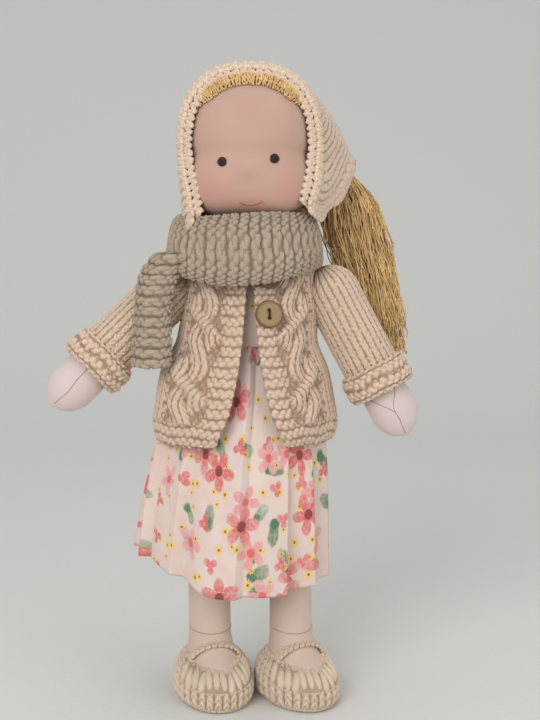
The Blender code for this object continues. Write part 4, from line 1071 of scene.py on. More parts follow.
@dataclass
class Head:
    """The stuffed head and neck, with the embroidered face.

    Each eye has its place sideways and its height.
    """

    nose_depth: float = 0.0019
    cheek_depth: float = 0.0012
    eye_line_depth: float = 0.030
    eye_radius: float = 0.0021
    eye_stitches: int = 9
    eye_thread: float = 0.00042
    eyes: tuple[tuple[float, float], ...] = ((0.0126, 0.3042), (-0.0144, 0.3026))
    mouth_half_width: float = 0.0062
    mouth_rise: float = 0.0019
    mouth_height: float = 0.2803
    mouth_offset: float = 0.0005
    mouth_thread: float = 0.00030
    neck_radius: float = 0.0112
    neck_bottom: float = 0.2500
    neck_length: float = 0.030

    def surface(self, u: Array, v: Array) -> Array:
        """The head's skin, from below the chin up to the crown.

        Args:
            u: Shares round the head.
            v: Shares from the chin to the crown.

        Returns:
            The points.
        """
        turn = 2 * pi * u - pi
        rise = pi * v
        place = skull(points_of(np.sin(rise) * np.sin(turn), -np.sin(rise) * np.cos(turn), -np.cos(rise)), 0.0)
        x, y, z = place.T
        front = ramp(-y, 0.004, 0.022)
        eye_line = np.exp(-((z + 0.0048) / 0.0042) ** 2)
        place *= (1 - self.eye_line_depth * eye_line * (0.35 + 0.65 * front))[:, None]
        cheeks = np.exp(-((z + 0.0190) / 0.0085) ** 2) * (
            np.exp(-((x - 0.0180) / 0.0100) ** 2) + np.exp(-((x + 0.0180) / 0.0100) ** 2))
        nose = np.exp(-(x / 0.0056) ** 2 - ((z + 0.0132) / 0.0046) ** 2)
        place[:, 1] -= front * (self.nose_depth * nose + self.cheek_depth * cheeks)
        return HEAD_CENTRE + place

    def front(self, x: float, z: float, lift: float) -> Array:
        """A point over the face.

        Args:
            x: Its place sideways.
            z: Its height.
            lift: How far it stands off the skin.

        Returns:
            The point.
        """
        readings = 220
        grid_u, grid_v = np.meshgrid(np.linspace(0.25, 0.75, readings), np.linspace(0.05, 0.95, readings))
        spots = self.surface(grid_u.ravel(), grid_v.ravel())
        best = spots[np.argmin((spots[:, 0] - x) ** 2 + (spots[:, 2] - z) ** 2)]
        return np.array([x, best[1], z]) + unit(best - HEAD_CENTRE) * lift

    def neck(self, u: Array, v: Array) -> Array:
        """The neck.

        Args:
            u: Shares round it.
            v: Shares from its lower end to its upper end inside the head.

        Returns:
            The points.
        """
        turn = 2 * pi * u
        radius = self.neck_radius * np.sqrt(np.clip(1 - (2 * v - 1) ** 8, 0, None))
        return points_of(radius * np.cos(turn), radius * np.sin(turn), self.neck_bottom + self.neck_length * v)

    def build(self) -> None:
        """Make the head, the neck and the face."""
        face = FACE_JERSEY.make()
        skin = Panel("head", 160, 110, self.surface).build(face)
        put_on(skin, "head", "head_skin")
        put_on(Panel("neck_skin", 40, 24, self.neck).build(face), "head")
        self.build_eyes()
        self.build_mouth()

    def build_eyes(self) -> None:
        """Make the eyes of upright satin stitches."""
        thread = EYE_THREAD.make()
        for name, (x, z) in zip(("eye_left", "eye_right"), self.eyes):
            stitches = Threads(name + "_stitches", self.eye_thread)
            for i in range(self.eye_stitches):
                offset = (2 * i / (self.eye_stitches - 1) - 1) * self.eye_radius * 0.92
                half = sqrt(max(self.eye_radius ** 2 - offset ** 2, 0.0)) + 0.0002
                line = [self.front(x + offset, z + half * share, 0.00015 + 0.0006 * (1 - share * share))
                        for share in np.linspace(-1, 1, 7)]
                stitches.lines.append(np.array(line))
            put_on(stitches.build(thread), "head", name)

    def build_mouth(self) -> None:
        """Make the mouth, a curved line of back stitches whose ends dip into the skin."""
        mouth = Threads("mouth_stitches", self.mouth_thread)
        half = self.mouth_half_width
        points = [
            self.front(
                x + self.mouth_offset, self.mouth_height + self.mouth_rise * (x / half) ** 2 + 0.0003 * x / half,
                0.00010)
            for x in np.linspace(-half, half, 13)]
        for first in range(0, len(points) - 1, 2):
            stitch = np.array(points[first:first + 3])
            stitch[[0, -1], 1] += 0.0002
            mouth.lines.append(stitch)
        put_on(mouth.build(MOUTH_THREAD.make()), "head", "mouth")


@dataclass
class Hair:
    """The cap of yarn, the strands that show at the forehead, and the ponytail.

    The path is the ponytail's middle line, with half its width and half its depth at each of its points.
    """

    seed: int = 11
    strands: int = 390
    strand_points: int = 62
    strand_radius: float = 0.00042
    band_strands: int = 120
    band_points: int = 26
    band_radius: float = 0.00044
    band_half_turn: float = radians(96)
    cap_half_turn: float = radians(140)
    cap_lift: float = 0.0016
    tie_turns: int = 3
    tie_radius: float = 0.0011
    tie_half: tuple[float, float] = (0.0080, 0.0069)
    path: tuple[tuple[float, float, float], ...] = (
        (0.0430, 0.0215, 0.3040), (0.0511, 0.0260, 0.2985), (0.0574, 0.0300, 0.2850),
        (0.0615, 0.0320, 0.2630), (0.0689, 0.0320, 0.2371), (0.0752, 0.0310, 0.2134), (0.0800, 0.0300, 0.1950))
    widths: tuple[float, ...] = (0.0060, 0.0095, 0.0180, 0.0212, 0.0200, 0.0165, 0.0125)
    depths: tuple[float, ...] = (0.0055, 0.0072, 0.0098, 0.0105, 0.0098, 0.0080, 0.0060)

    def cap(self, u: Array, v: Array) -> Array:
        """The cap's form.

        Args:
            u: Shares from its right side to its left side.
            v: Shares from its front edge to the back of the head.

        Returns:
            The points.
        """
        turn = self.cap_half_turn * (2 * u - 1)
        first = self.hairline(turn) + radians(3)
        back = first + (pi - first) * v
        return HEAD_CENTRE + bonnet(turn * (1 - 0.1 * v), back, self.cap_lift)

    def hairline(self, turn: Array) -> Array:
        """Where the hair begins, lowest over the forehead and drawn back at the sides.

        Args:
            turn: Turns from the crown.

        Returns:
            The turn from the face.
        """
        return radians(50) + radians(14) * ramp(np.abs(turn), radians(38), radians(74))

    def crinkle(self, count: int, wave: float, size: float, seed: np.random.Generator) -> Array:
        """Curls of a strand of yarn.

        Args:
            count: How many points it has.
            wave: How many waves it has.
            size: How far it waves.
            seed: Where its chance comes from.

        Returns:
            An offset for each point.
        """
        t = np.linspace(0, 2 * pi * wave, count)
        first, second, third = seed.uniform(0, 2 * pi, 3)
        swing = 1 + 0.5 * np.sin(t * 0.21 + third)
        return size * points_of(
            np.sin(t + first) * swing, np.cos(t * 0.93 + second) * swing, 0.5 * np.sin(t * 1.31 + third))

    def build(self) -> None:
        """Make the hair."""
        seed = np.random.default_rng(self.seed)
        gold = GOLD_CURLS.make()
        cap = Panel("hair_cap_yarn", 90, 60, self.cap, thickness=0.0012).build(gold)
        put_on(cap, "head", "hair_cap")
        self.build_band(gold, seed)
        self.build_ponytail(gold, seed)
        self.build_tie()

    def build_band(self, gold: bpy.types.Material, seed: np.random.Generator) -> None:
        """Make the curled strands that show between the face and the hood, in two layers.

        Args:
            gold: The hair's material.
            seed: Where the strands' chance comes from.
        """
        band = Threads("hair_band", self.band_radius)
        for i in range(self.band_strands):
            share = (i + 0.5) / self.band_strands
            for layer in range(2):
                length = self.band_points
                t = np.linspace(0, 1, length)
                turn = np.full(length, self.band_half_turn * (2 * share - 1) + seed.uniform(-0.014, 0.014))
                back = self.hairline(turn) + radians(-1.5 + 3 * layer + seed.uniform(-0.6, 0.6)) + radians(26) * t
                lift = 0.0008 + 0.0017 * np.sin(np.clip(t * 5, 0, 1) * pi / 2) + 0.0011 * layer
                line = HEAD_CENTRE + bonnet(turn, back, lift)
                band.lines.append(line + self.crinkle(length, 6.5, 0.00034, seed))
        put_on(band.build(gold), "head")

    def build_ponytail(self, gold: bpy.types.Material, seed: np.random.Generator) -> None:
        """Make the ponytail, a loose bundle of curled strands.

        Args:
            gold: The hair's material.
            seed: Where the strands' chance comes from.
        """
        tail = Threads("ponytail_yarn", self.strand_radius, 0)
        places = np.linspace(0, 1, len(self.path))
        path = np.array(self.path)
        for i in range(self.strands):
            angle = seed.uniform(0, 2 * pi)
            out = sqrt(seed.uniform(0.10, 1.0)) * (1.12 if i % 9 == 0 else 1.0)
            end = seed.uniform(0.74, 1.0) if out > 0.5 else seed.uniform(0.86, 1.03)
            t = np.linspace(0, end, self.strand_points)
            middle = np.stack([follow(places, path[:, k], t) for k in range(3)], axis=1)
            width = follow(places, self.widths, t) * out * cos(angle)
            depth = follow(places, self.depths, t) * out * sin(angle)
            size = seed.uniform(0.00022, 0.00060)
            curl = self.crinkle(len(t), seed.uniform(8, 18), size, seed) * ramp(t, 0.04, 0.16)[:, None]
            slow = self.crinkle(len(t), seed.uniform(0.7, 3.2), 0.0017, seed) * ramp(t, 0.1, 0.5)[:, None]
            across = points_of(width * 0.94, depth, -width * 0.30)
            tail.lines.append(middle + across + curl + slow)
        put_on(tail.build(gold), "head", "ponytail")

    def build_tie(self) -> None:
        """Make the tie, whose turns lie side by side round the ponytail's start."""
        tie = Threads("ponytail_tie", self.tie_radius, 2)
        turns = np.linspace(0, 2 * pi * self.tie_turns, 70)
        start, after = np.array(self.path[:2])
        ahead = unit(after - start)
        across = unit(np.cross(ahead, [0, 1, 0]))
        along = np.cross(ahead, across)
        width, depth = self.tie_half
        ring = (width * np.cos(turns))[:, None] * across + (depth * np.sin(turns))[:, None] * along
        tie.lines.append((start + after) / 2 + ring + ahead * np.linspace(-0.0018, 0.0018, len(turns))[:, None])
        put_on(tie.build(PALE_THREAD.make()), "head", "hair_tie")


@dataclass
class Hood:
    """The knitted hood with its point, and the crocheted edging round the face and along the lower edge.

    The lower edge at the left is a table of turns from the face, with the turn from the crown at each of them. Each
    row of an edging lies between two levels, and a level has its turn and how far it stands off the head.
    """

    half_turn: float = radians(149)
    lift: float = 0.0046
    point: float = 0.0250
    point_aim: tuple[float, float, float] = (0.872, 0.472, -0.13)
    point_reach: float = radians(62)
    band: float = radians(8)
    size: tuple[float, float] = (0.185, 0.085)
    low_backs: tuple[float, ...] = (40, 70, 95, 118, 140, 180)
    low_turns: tuple[float, ...] = (141, 134, 114, 94, 124, 149)
    face_levels: tuple[tuple[float, float], ...] = ((0.0, 0.0014), (5.2, 0.0043), (10.6, 0.0066))
    face_pairs: int = 46
    low_levels: tuple[tuple[float, float], ...] = ((-3.0, 0.0052), (3.0, 0.0066), (9.0, 0.0076))
    low_pairs: int = 29
    stitch_half_thickness: float = 0.0013

    def edge(self, turn: Array) -> Array:
        """Where the edging ends round the face.

        Args:
            turn: Turns from the crown.

        Returns:
            The turn from the face.
        """
        side = ramp(np.abs(turn), radians(30), radians(80))
        jaw = ramp(np.abs(turn), radians(92), radians(136))
        return radians(55) - radians(2) * side - radians(7) * jaw

    def over(self, turn: Array, back: Array, lift: float) -> Array:
        """Points of the hood's form, with its point at the left of its back.

        Args:
            turn: Turns from the crown.
            back: Turns from the face.
            lift: How far it stands off the head.

        Returns:
            The points.
        """
        spot = bonnet(turn, back, lift)
        way = unit(spot)
        aim = np.array(self.point_aim)
        below = ramp(aim[2] - way[:, 2], 0.0, 0.5)
        away = np.arccos(np.clip(way @ aim, -1, 1)) * (1 - 0.42 * below)
        gain = self.point * np.clip(1 - away / self.point_reach, 0, None) ** 1.7
        cheek = ramp(turn, radians(104), radians(140)) * (1 - ramp(back, radians(82), radians(112)))
        return HEAD_CENTRE + spot + way * (gain * (1 - 0.85 * cheek))[:, None]

    def low(self, back: Array) -> Array:
        """Where the hood's left lower edge lies; it rises to let the ponytail out.

        Args:
            back: Turns from the face.

        Returns:
            The turn from the crown.
        """
        return follow(np.radians(self.low_backs), np.radians(self.low_turns), back)

    def surface(self, u: Array, v: Array) -> Array:
        """The hood's form, from its front to the seam at its back.

        Args:
            u: Shares from the right lower corner over the crown to the left one.
            v: Shares from the front to the seam at the back.

        Returns:
            The points.
        """
        guess = self.half_turn * (2 * u - 1)
        first = self.edge(guess) + self.band
        back = first + (pi - first) * v
        turn = -self.half_turn + (self.half_turn + self.low(back)) * u
        return self.over(turn, back, self.lift)

    def stitch_row(self, edging: "Beads", first: Array, second: Array, lean: float) -> None:
        """Make a row of crochet stitches in pairs, which reach from one line of points to another.

        Args:
            edging: The stitches so far.
            first: The line where the stitches start.
            second: The line where they end.
            lean: How far a pair's stitches lean apart.
        """
        middle = (first + second) / 2
        half = np.linalg.norm(second - first, axis=1) / 2
        ahead = (second - first) / (2 * half)[:, None]
        steps = np.gradient(middle, axis=0)
        pitch = np.linalg.norm(steps, axis=1)
        along = steps / pitch[:, None]
        outward = np.cross(along, ahead)
        outward *= np.sign(np.einsum("ij,ij->i", outward, middle - HEAD_CENTRE))[:, None]
        numbers = np.arange(len(middle), dtype=float)
        for sign in (-1, 1):
            own = chance(numbers, numbers * 0 + 3 * sign, 5.0 + lean)
            skew = lean + 0.5 * (chance(numbers, numbers * 0 + sign, 6.0 + lean) - 0.5)
            for i, centre in enumerate(middle):
                spot = centre + along[i] * (sign * 0.22 * pitch[i]) + outward[i] * (0.0004 * own[i])
                way = ahead[i] * cos(skew[i]) + along[i] * (sign * sin(skew[i]))
                length = half[i] * (1.22 + 0.26 * own[i])
                width = pitch[i] * (0.38 + 0.06 * own[i])
                edging.add(spot, way, outward[i], (length, width, self.stitch_half_thickness))

    def drawn_in(self, across: Array, along: Array) -> Array:
        """How far the columns are drawn together at the back, above the nape.

        Args:
            across: Places across the columns.
            along: Places from the front to the back.

        Returns:
            The share, from 0 to 1.
        """
        nape = ramp(np.abs(across / self.size[0] - 0.5), 0.27, 0.33)
        return ramp(along, 0.060, 0.085) * (1 - nape)

    def relief(self, across: Array, along: Array) -> Array:
        """Columns that grow flat where they are drawn together."""
        return stockinette(across, along) * (1 - 0.8 * self.drawn_in(across, along))

    def shade(self, across: Array, along: Array) -> Array:
        """The painted shade of the same columns, which lightens where they are drawn together and their hollows
        close.
        """
        return self.relief(across, along) + 0.5 * self.drawn_in(across, along)

    def build(self) -> None:
        """Make the hood and its edging."""
        yarn = YARN_HOOD.make()
        hood = Panel(
            "hood_knit", 300, 140, self.surface, self.relief, self.shade, 0.0011, self.size,
            centre=tuple(HEAD_CENTRE), closed=False, thickness=0.0018).build(yarn)
        put_on(hood, "head", "hood")
        edging = Beads("hood_edging_stitches")
        leans = (0.45, 0.45 - 0.80)
        for row, lean in enumerate(leans):
            turn = np.linspace(-self.half_turn, self.half_turn * 0.93, self.face_pairs - row)
            (low, near), (high, far) = self.face_levels[row:row + 2]
            self.stitch_row(
                edging, self.over(turn, self.edge(turn) + radians(low), near),
                self.over(turn, self.edge(turn) + radians(high), far), lean)
        for row, lean in enumerate(leans):
            back = np.linspace(radians(51), radians(179), self.low_pairs - row)
            (low, near), (high, far) = self.low_levels[row:row + 2]
            for side, turn in ((Side.LEFT, self.low(back)), (Side.RIGHT, np.full(len(back), -self.half_turn))):
                self.stitch_row(
                    edging, self.over(turn + side.value * radians(low), back, near),
                    self.over(turn + side.value * radians(high), back, far), lean)
        put_on(edging.build(yarn), "head", "hood_edging")


@dataclass
class Torso:
    """The stuffed torso."""

    def surface(self, u: Array, v: Array) -> Array:
        """The torso's skin, closed at its two ends.

        Args:
            u: Shares round it.
            v: Shares from its lower end to its upper end.

        Returns:
            The points.
        """
        turn = 2 * pi * u
        height = TORSO_BOTTOM + TORSO_HEIGHT * ramp(v, 0.03, 0.97)
        width, depth = torso_sizes(height)
        ends = np.sqrt(np.clip(1 - np.abs(2 * v - 1) ** 10, 0, None))
        return points_of(width * ends * np.cos(turn), depth * ends * np.sin(turn), height)

    def build(self) -> None:
        """Make the torso's skin."""
        skin = Panel("torso", 72, 60, self.surface).build(LIMB_JERSEY.make())
        put_on(skin, "torso", "torso_skin")


@dataclass
class Arm:
    """A stuffed arm with its mitten hand, its knitted sleeve and its turned cuff.

    The places run from above the shoulder to the tip of the hand, as shares of the length, with the skin's half
    width and half depth at each of them as shares of the ball at the shoulder.
    """

    side: Side
    length: float = 0.0900
    ball: float = 0.0135
    places: tuple[float, ...] = (-0.15, -0.1, 0.0, 0.17, 0.39, 0.56, 0.65, 0.74, 0.83, 0.91, 0.965, 1.0)
    widths: tuple[float, ...] = (0.0, 0.72, 1.0, 0.93, 0.89, 0.88, 0.90, 0.97, 0.97, 0.80, 0.49, 0.0)
    depths: tuple[float, ...] = (0.0, 0.72, 1.0, 0.93, 0.89, 0.86, 0.86, 0.88, 0.84, 0.68, 0.41, 0.0)
    sleeve_radius: float = 0.0151
    sleeve_cap_radius: float = 0.0150
    sleeve_cap_share: float = 0.30
    sleeve_share: float = 0.54
    cuff_share: float = 0.60
    cuff_radius: float = 0.0163
    cuff_half_thickness: float = 0.0021
    cuff_half_width: float = 0.0070
    seam_radius: float = 0.00015

    def along(self, distance: Array, radius: Array, depth: Array, turn: Array) -> Array:
        """Points round the arm's line.

        Args:
            distance: Distances from the shoulder down the arm.
            radius: Half widths.
            depth: Half depths.
            turn: Turns round the line.

        Returns:
            The points.
        """
        shoulder, direction, across, along = limb_axes(self.side)
        return (shoulder + distance[:, None] * direction + (radius * np.cos(turn))[:, None] * across
                + (depth * np.sin(turn))[:, None] * along)

    def skin(self, u: Array, v: Array) -> Array:
        """The arm's skin.

        Args:
            u: Shares round it.
            v: Shares from above the shoulder to the tip of the hand.

        Returns:
            The points.
        """
        start = self.places[0]
        t = start + (1 - start) * v
        width = follow(self.places, self.widths, t) * self.ball
        depth = follow(self.places, self.depths, t) * self.ball
        return self.along(self.length * t, width, depth, 2 * pi * u)

    def sleeve(self, u: Array, v: Array) -> Array:
        """The sleeve.

        Args:
            u: Shares round it.
            v: Shares from the top of its cap over the shoulder to the cuff.

        Returns:
            The points.
        """
        cap = self.sleeve_cap_share
        curve = np.clip(v / cap, 0, 1) * pi / 2
        radius = np.where(v < cap, self.sleeve_cap_radius * np.sin(curve), self.sleeve_radius)
        tube = (v - cap) / (1 - cap) * self.length * self.sleeve_share
        distance = np.where(v < cap, -self.sleeve_cap_radius * np.cos(curve), tube)
        return self.along(distance, radius, radius, 2 * pi * u)

    def cuff(self, u: Array, v: Array) -> Array:
        """The cuff, a thick rolled band.

        Args:
            u: Shares round the arm.
            v: Shares round the band's own section.

        Returns:
            The points.
        """
        turn = 2 * pi * v
        radius = self.cuff_radius + self.cuff_half_thickness * np.cos(turn)
        reach = self.cuff_half_width * squared(turn, 0.7)[1]
        return self.along(self.length * self.cuff_share + reach, radius, radius, 2 * pi * u)

    def build(self) -> None:
        """Make the arm and its sleeve."""
        word = self.side.word
        body = "arm_" + word
        skin = Panel("arm_" + word + "_stuffed", 56, 90, self.skin).build(HAND_JERSEY.make())
        put_on(skin, body, "arm_skin_" + word)
        yarn = YARN_CREAM.make()
        sleeve = Panel(
            "sleeve_knit_" + word, 190, 150, self.sleeve, stockinette, None, 0.0008, (0.1008, 0.072),
            thickness=0.0018).build(yarn)
        put_on(sleeve, body, "sleeve_" + word)
        cuff = Panel(
            "cuff_knit_" + word, 200, 72, self.cuff, garter, None, 0.0016, (0.1092, 0.0385)).build(yarn)
        put_on(cuff, body, "cuff_" + word)
        self.build_seam(body)

    def build_seam(self, body: str) -> None:
        """Make the fine dark seam along the hand, which parts in two on the left hand.

        Args:
            body: The arm's body.
        """
        seam = Threads("hand_seam_" + self.side.word, self.seam_radius)
        shoulder, direction, _, _ = limb_axes(self.side)
        start = self.places[0]
        for spread in (0.15,) if self.side is Side.RIGHT else (0.95, -0.55):
            t = np.linspace(0.66, 0.975, 44)
            u = 0.25 + (spread * (1 - ramp(t, 0.64, 0.84)) + 0.03 * np.sin(t * 34)) / (2 * pi)
            points = self.skin(u, (t - start) / (1 - start))
            outward = unit(points - (shoulder + np.outer(t * self.length, direction)))
            seam.lines.append(points + outward * 0.00008)
        put_on(seam.build(SEAM_THREAD.make()), body)


@dataclass
class Leg:
    """A stuffed leg with its crocheted shoe.

    The heights run from the sole of the foot to the hip, with the skin's half width, its half length and how far its
    middle lies forward at each of them. The sole's places run from its middle below over its edge to its middle
    above, with its reach and its height at each of them.
    """

    side: Side
    offset: float = 0.0235
    bottom: float = 0.0036
    height: float = 0.1478
    heights: tuple[float, ...] = (
        0.0036, 0.0038, 0.0073, 0.0145, 0.0218, 0.0291, 0.0363, 0.060, 0.110, 0.125, 0.138, 0.147, 0.1514)
    widths: tuple[float, ...] = (
        0.0, 0.0125, 0.0160, 0.0165, 0.0148, 0.0130, 0.0122, 0.0121, 0.0124, 0.0128, 0.0135, 0.0100, 0.0)
    lengths: tuple[float, ...] = (
        0.0, 0.0209, 0.0255, 0.0250, 0.0209, 0.0153, 0.0126, 0.0121, 0.0124, 0.0128, 0.0135, 0.0100, 0.0)
    forwards: tuple[float, ...] = (0.009, 0.009, 0.009, 0.0085, 0.0056, 0.0020, 0.0003, 0, 0, 0, 0, 0, 0)
    sole_half: tuple[float, float] = (0.0198, 0.0286)
    sole_forward: float = 0.0080
    sole_middle: float = 0.0019
    sole_half_thickness: float = 0.0011
    sole_places: tuple[float, ...] = (0.0, 0.38, 0.46, 0.54, 0.62, 1.0)
    sole_reaches: tuple[float, ...] = (0.0, 0.93, 1.0, 1.0, 0.93, 0.0)
    sole_levels: tuple[float, ...] = (-1.0, -0.95, -0.7, 0.7, 0.95, 1.0)
    sole_size: tuple[float, float] = (0.1512, 0.0480)
    upper_half: tuple[float, float] = (0.0206, 0.0292)
    opening_half: tuple[float, float] = (0.0128, 0.0150)
    upper_size: tuple[float, float] = (0.1584, 0.0368)
    strap_half_width: float = 0.0145
    strap_stitches: int = 12
    ankle_height: float = 0.0395

    def turned(self, x: Array | float, y: Array | float, z: Array | float) -> Array:
        """Points of the foot, turned with the toes.

        Args:
            x: Places across the foot.
            y: Places along it, negative towards the toes.
            z: Heights.

        Returns:
            The points in the doll's frame.
        """
        turn = radians(26) if self.side is Side.LEFT else radians(16)
        return points_of(
            self.side.value * self.offset + x * cos(turn) - y * sin(turn), x * sin(turn) + y * cos(turn), z)

    def skin(self, u: Array, v: Array) -> Array:
        """The leg's skin.

        Args:
            u: Shares round it.
            v: Shares from the sole of the foot up to the hip.

        Returns:
            The points.
        """
        height = self.bottom + self.height * v
        width = follow(self.heights, self.widths, height)
        length = follow(self.heights, self.lengths, height)
        forward = follow(self.heights, self.forwards, height)
        turn = 2 * pi * u
        return self.turned(width * np.cos(turn), length * np.sin(turn) - forward, height)

    def upper(self, u: Array, v: Array) -> Array:
        """The shoe's upper.

        Args:
            u: Shares round it.
            v: Shares from the sole's edge over its round side to the rim of its opening.

        Returns:
            The points.
        """
        turn = 2 * pi * u
        curve = v * 0.86
        rise = np.sin(curve * pi / 2) ** 0.9
        fold = ramp(v, 0.90, 1.0)
        inward = 1 - np.cos(curve * pi / 2 * 1.04)
        bulge = 1 + 0.055 * np.sin(pi * np.clip(v * 1.35, 0, 1))
        width = (self.upper_half[0] * (1 - inward) + self.opening_half[0] * inward) * bulge
        length = (self.upper_half[1] * (1 - inward) + self.opening_half[1] * inward) * bulge
        forward = self.sole_forward * (1 - inward) + 0.0046 * inward
        toe = ramp(-np.sin(turn), 0.1, 0.95)
        height = 0.0028 + (0.0225 - 0.0030 * toe) * rise - 0.0026 * fold
        return self.turned(width * np.cos(turn), length * np.sin(turn) - forward, height)

    def sole(self, u: Array, v: Array) -> Array:
        """The sole, a flat pad with a rounded edge.

        Args:
            u: Shares round it.
            v: Shares from its middle below over its edge to its middle above.

        Returns:
            The points.
        """
        turn = 2 * pi * u
        reach = follow(self.sole_places, self.sole_reaches, v)
        height = self.sole_middle + self.sole_half_thickness * follow(self.sole_places, self.sole_levels, v)
        width, length = self.sole_half
        return self.turned(width * reach * np.cos(turn), length * reach * np.sin(turn) - self.sole_forward, height)

    def crochet(self, across: Array, along: Array) -> Array:
        """Rows of plump crochet stitches, with long puffs over the toes.

        Args:
            across: Places round the shoe.
            along: Places from the sole to the rim.

        Returns:
            The height at each place, from 0 to 1.
        """
        width = self.upper_size[0] / 30
        rows = stockinette(across, along, width, 0.0052)
        puffs = lattice(across, along, (width, self.upper_size[1]), (0.5, 0.57), 0.0, (0.00255, 0.0098))
        is_toe = (across > 0.086) & (across < 0.151) & (along > 0.0122) & (along < 0.0300)
        return np.where(is_toe, 0.15 + 0.85 * puffs, rows)

    def rounds(self, across: Array, along: Array) -> Array:
        """Rounds of stitches over the sole, each round with more of them.

        Args:
            across: Places round the sole.
            along: Places from its middle below to its middle above.

        Returns:
            The height at each place, from 0 to 1.
        """
        place = 7.5 * follow(self.sole_places, self.sole_reaches, along / self.sole_size[1])
        row = np.floor(place)
        share = across / self.sole_size[0] * 6 * (row + 1)
        near = ((share % 1 - 0.5) / 0.56) ** 2 + ((place % 1 - 0.5) / 0.58) ** 2
        return np.sqrt(np.clip(1 - near, 0, None)) * (0.8 + 0.2 * chance(np.floor(share), row, 7.0))

    def build(self) -> None:
        """Make the leg and its shoe."""
        word = self.side.word
        body = "leg_" + word
        skin = Panel("leg_" + word + "_stuffed", 56, 110, self.skin).build(LIMB_JERSEY.make())
        put_on(skin, body, "leg_skin_" + word)
        yarn = YARN_SHOE.make()
        upper = Panel(
            "shoe_upper_crochet_" + word, 300, 90, self.upper, self.crochet, None, 0.0020, self.upper_size,
            thickness=0.0016).build(yarn)
        put_on(upper, body, "shoe_upper_" + word)
        sole = Panel(
            "shoe_sole_crochet_" + word, 230, 100, self.sole, self.rounds, None, 0.0006, self.sole_size).build(yarn)
        put_on(sole, body, "shoe_sole_" + word)
        self.build_strap(body, yarn)
        self.build_seam(body)

    def strap_point(self, lift: float, row: float) -> Array:
        """A point of the strap.

        Args:
            lift: Its turn over the instep, from the left side to the right side.
            row: How far it lies from the strap's middle line, in rows.

        Returns:
            The point.
        """
        back = -0.0108 - 0.0045 * sin(lift) + row * 0.0013
        return self.turned(self.strap_half_width * cos(lift), back, 0.0225 + 0.0100 * sin(lift))

    def build_strap(self, body: str, yarn: bpy.types.Material) -> None:
        """Make the strap of two rows of stitches over the instep.

        Args:
            body: The leg's body.
            yarn: The shoe's material.
        """
        strap = Beads("shoe_strap_stitches_" + self.side.word)
        inside = self.turned(0.0, -0.011, 0.020)
        for row in (-1, 1):
            for i in range(self.strap_stitches):
                lift = pi * (i + 0.25 * row + 0.5) / self.strap_stitches
                place = self.strap_point(lift, row)
                ahead = self.strap_point(lift + 0.05, row * (1 + 4 / 13)) - place
                strap.add(place, ahead, place - inside, (0.0026, 0.0013, 0.0013))
        put_on(strap.build(yarn), body, "shoe_strap_" + self.side.word)

    def build_seam(self, body: str) -> None:
        """Make the fine seam round the front of the ankle.

        Args:
            body: The leg's body.
        """
        ring = Threads("ankle_seam_" + self.side.word, 0.00014)
        u = np.linspace(0.52, 0.98, 40)
        height = self.ankle_height - 0.0016 * np.sin((u - 0.5) * 2 * pi)
        points = self.skin(u, (height - self.bottom) / self.height)
        ring.lines.append(points + (points - self.turned(0.0, 0.0, height)) * 0.012)
        put_on(ring.build(SEAM_THREAD.make()), body)


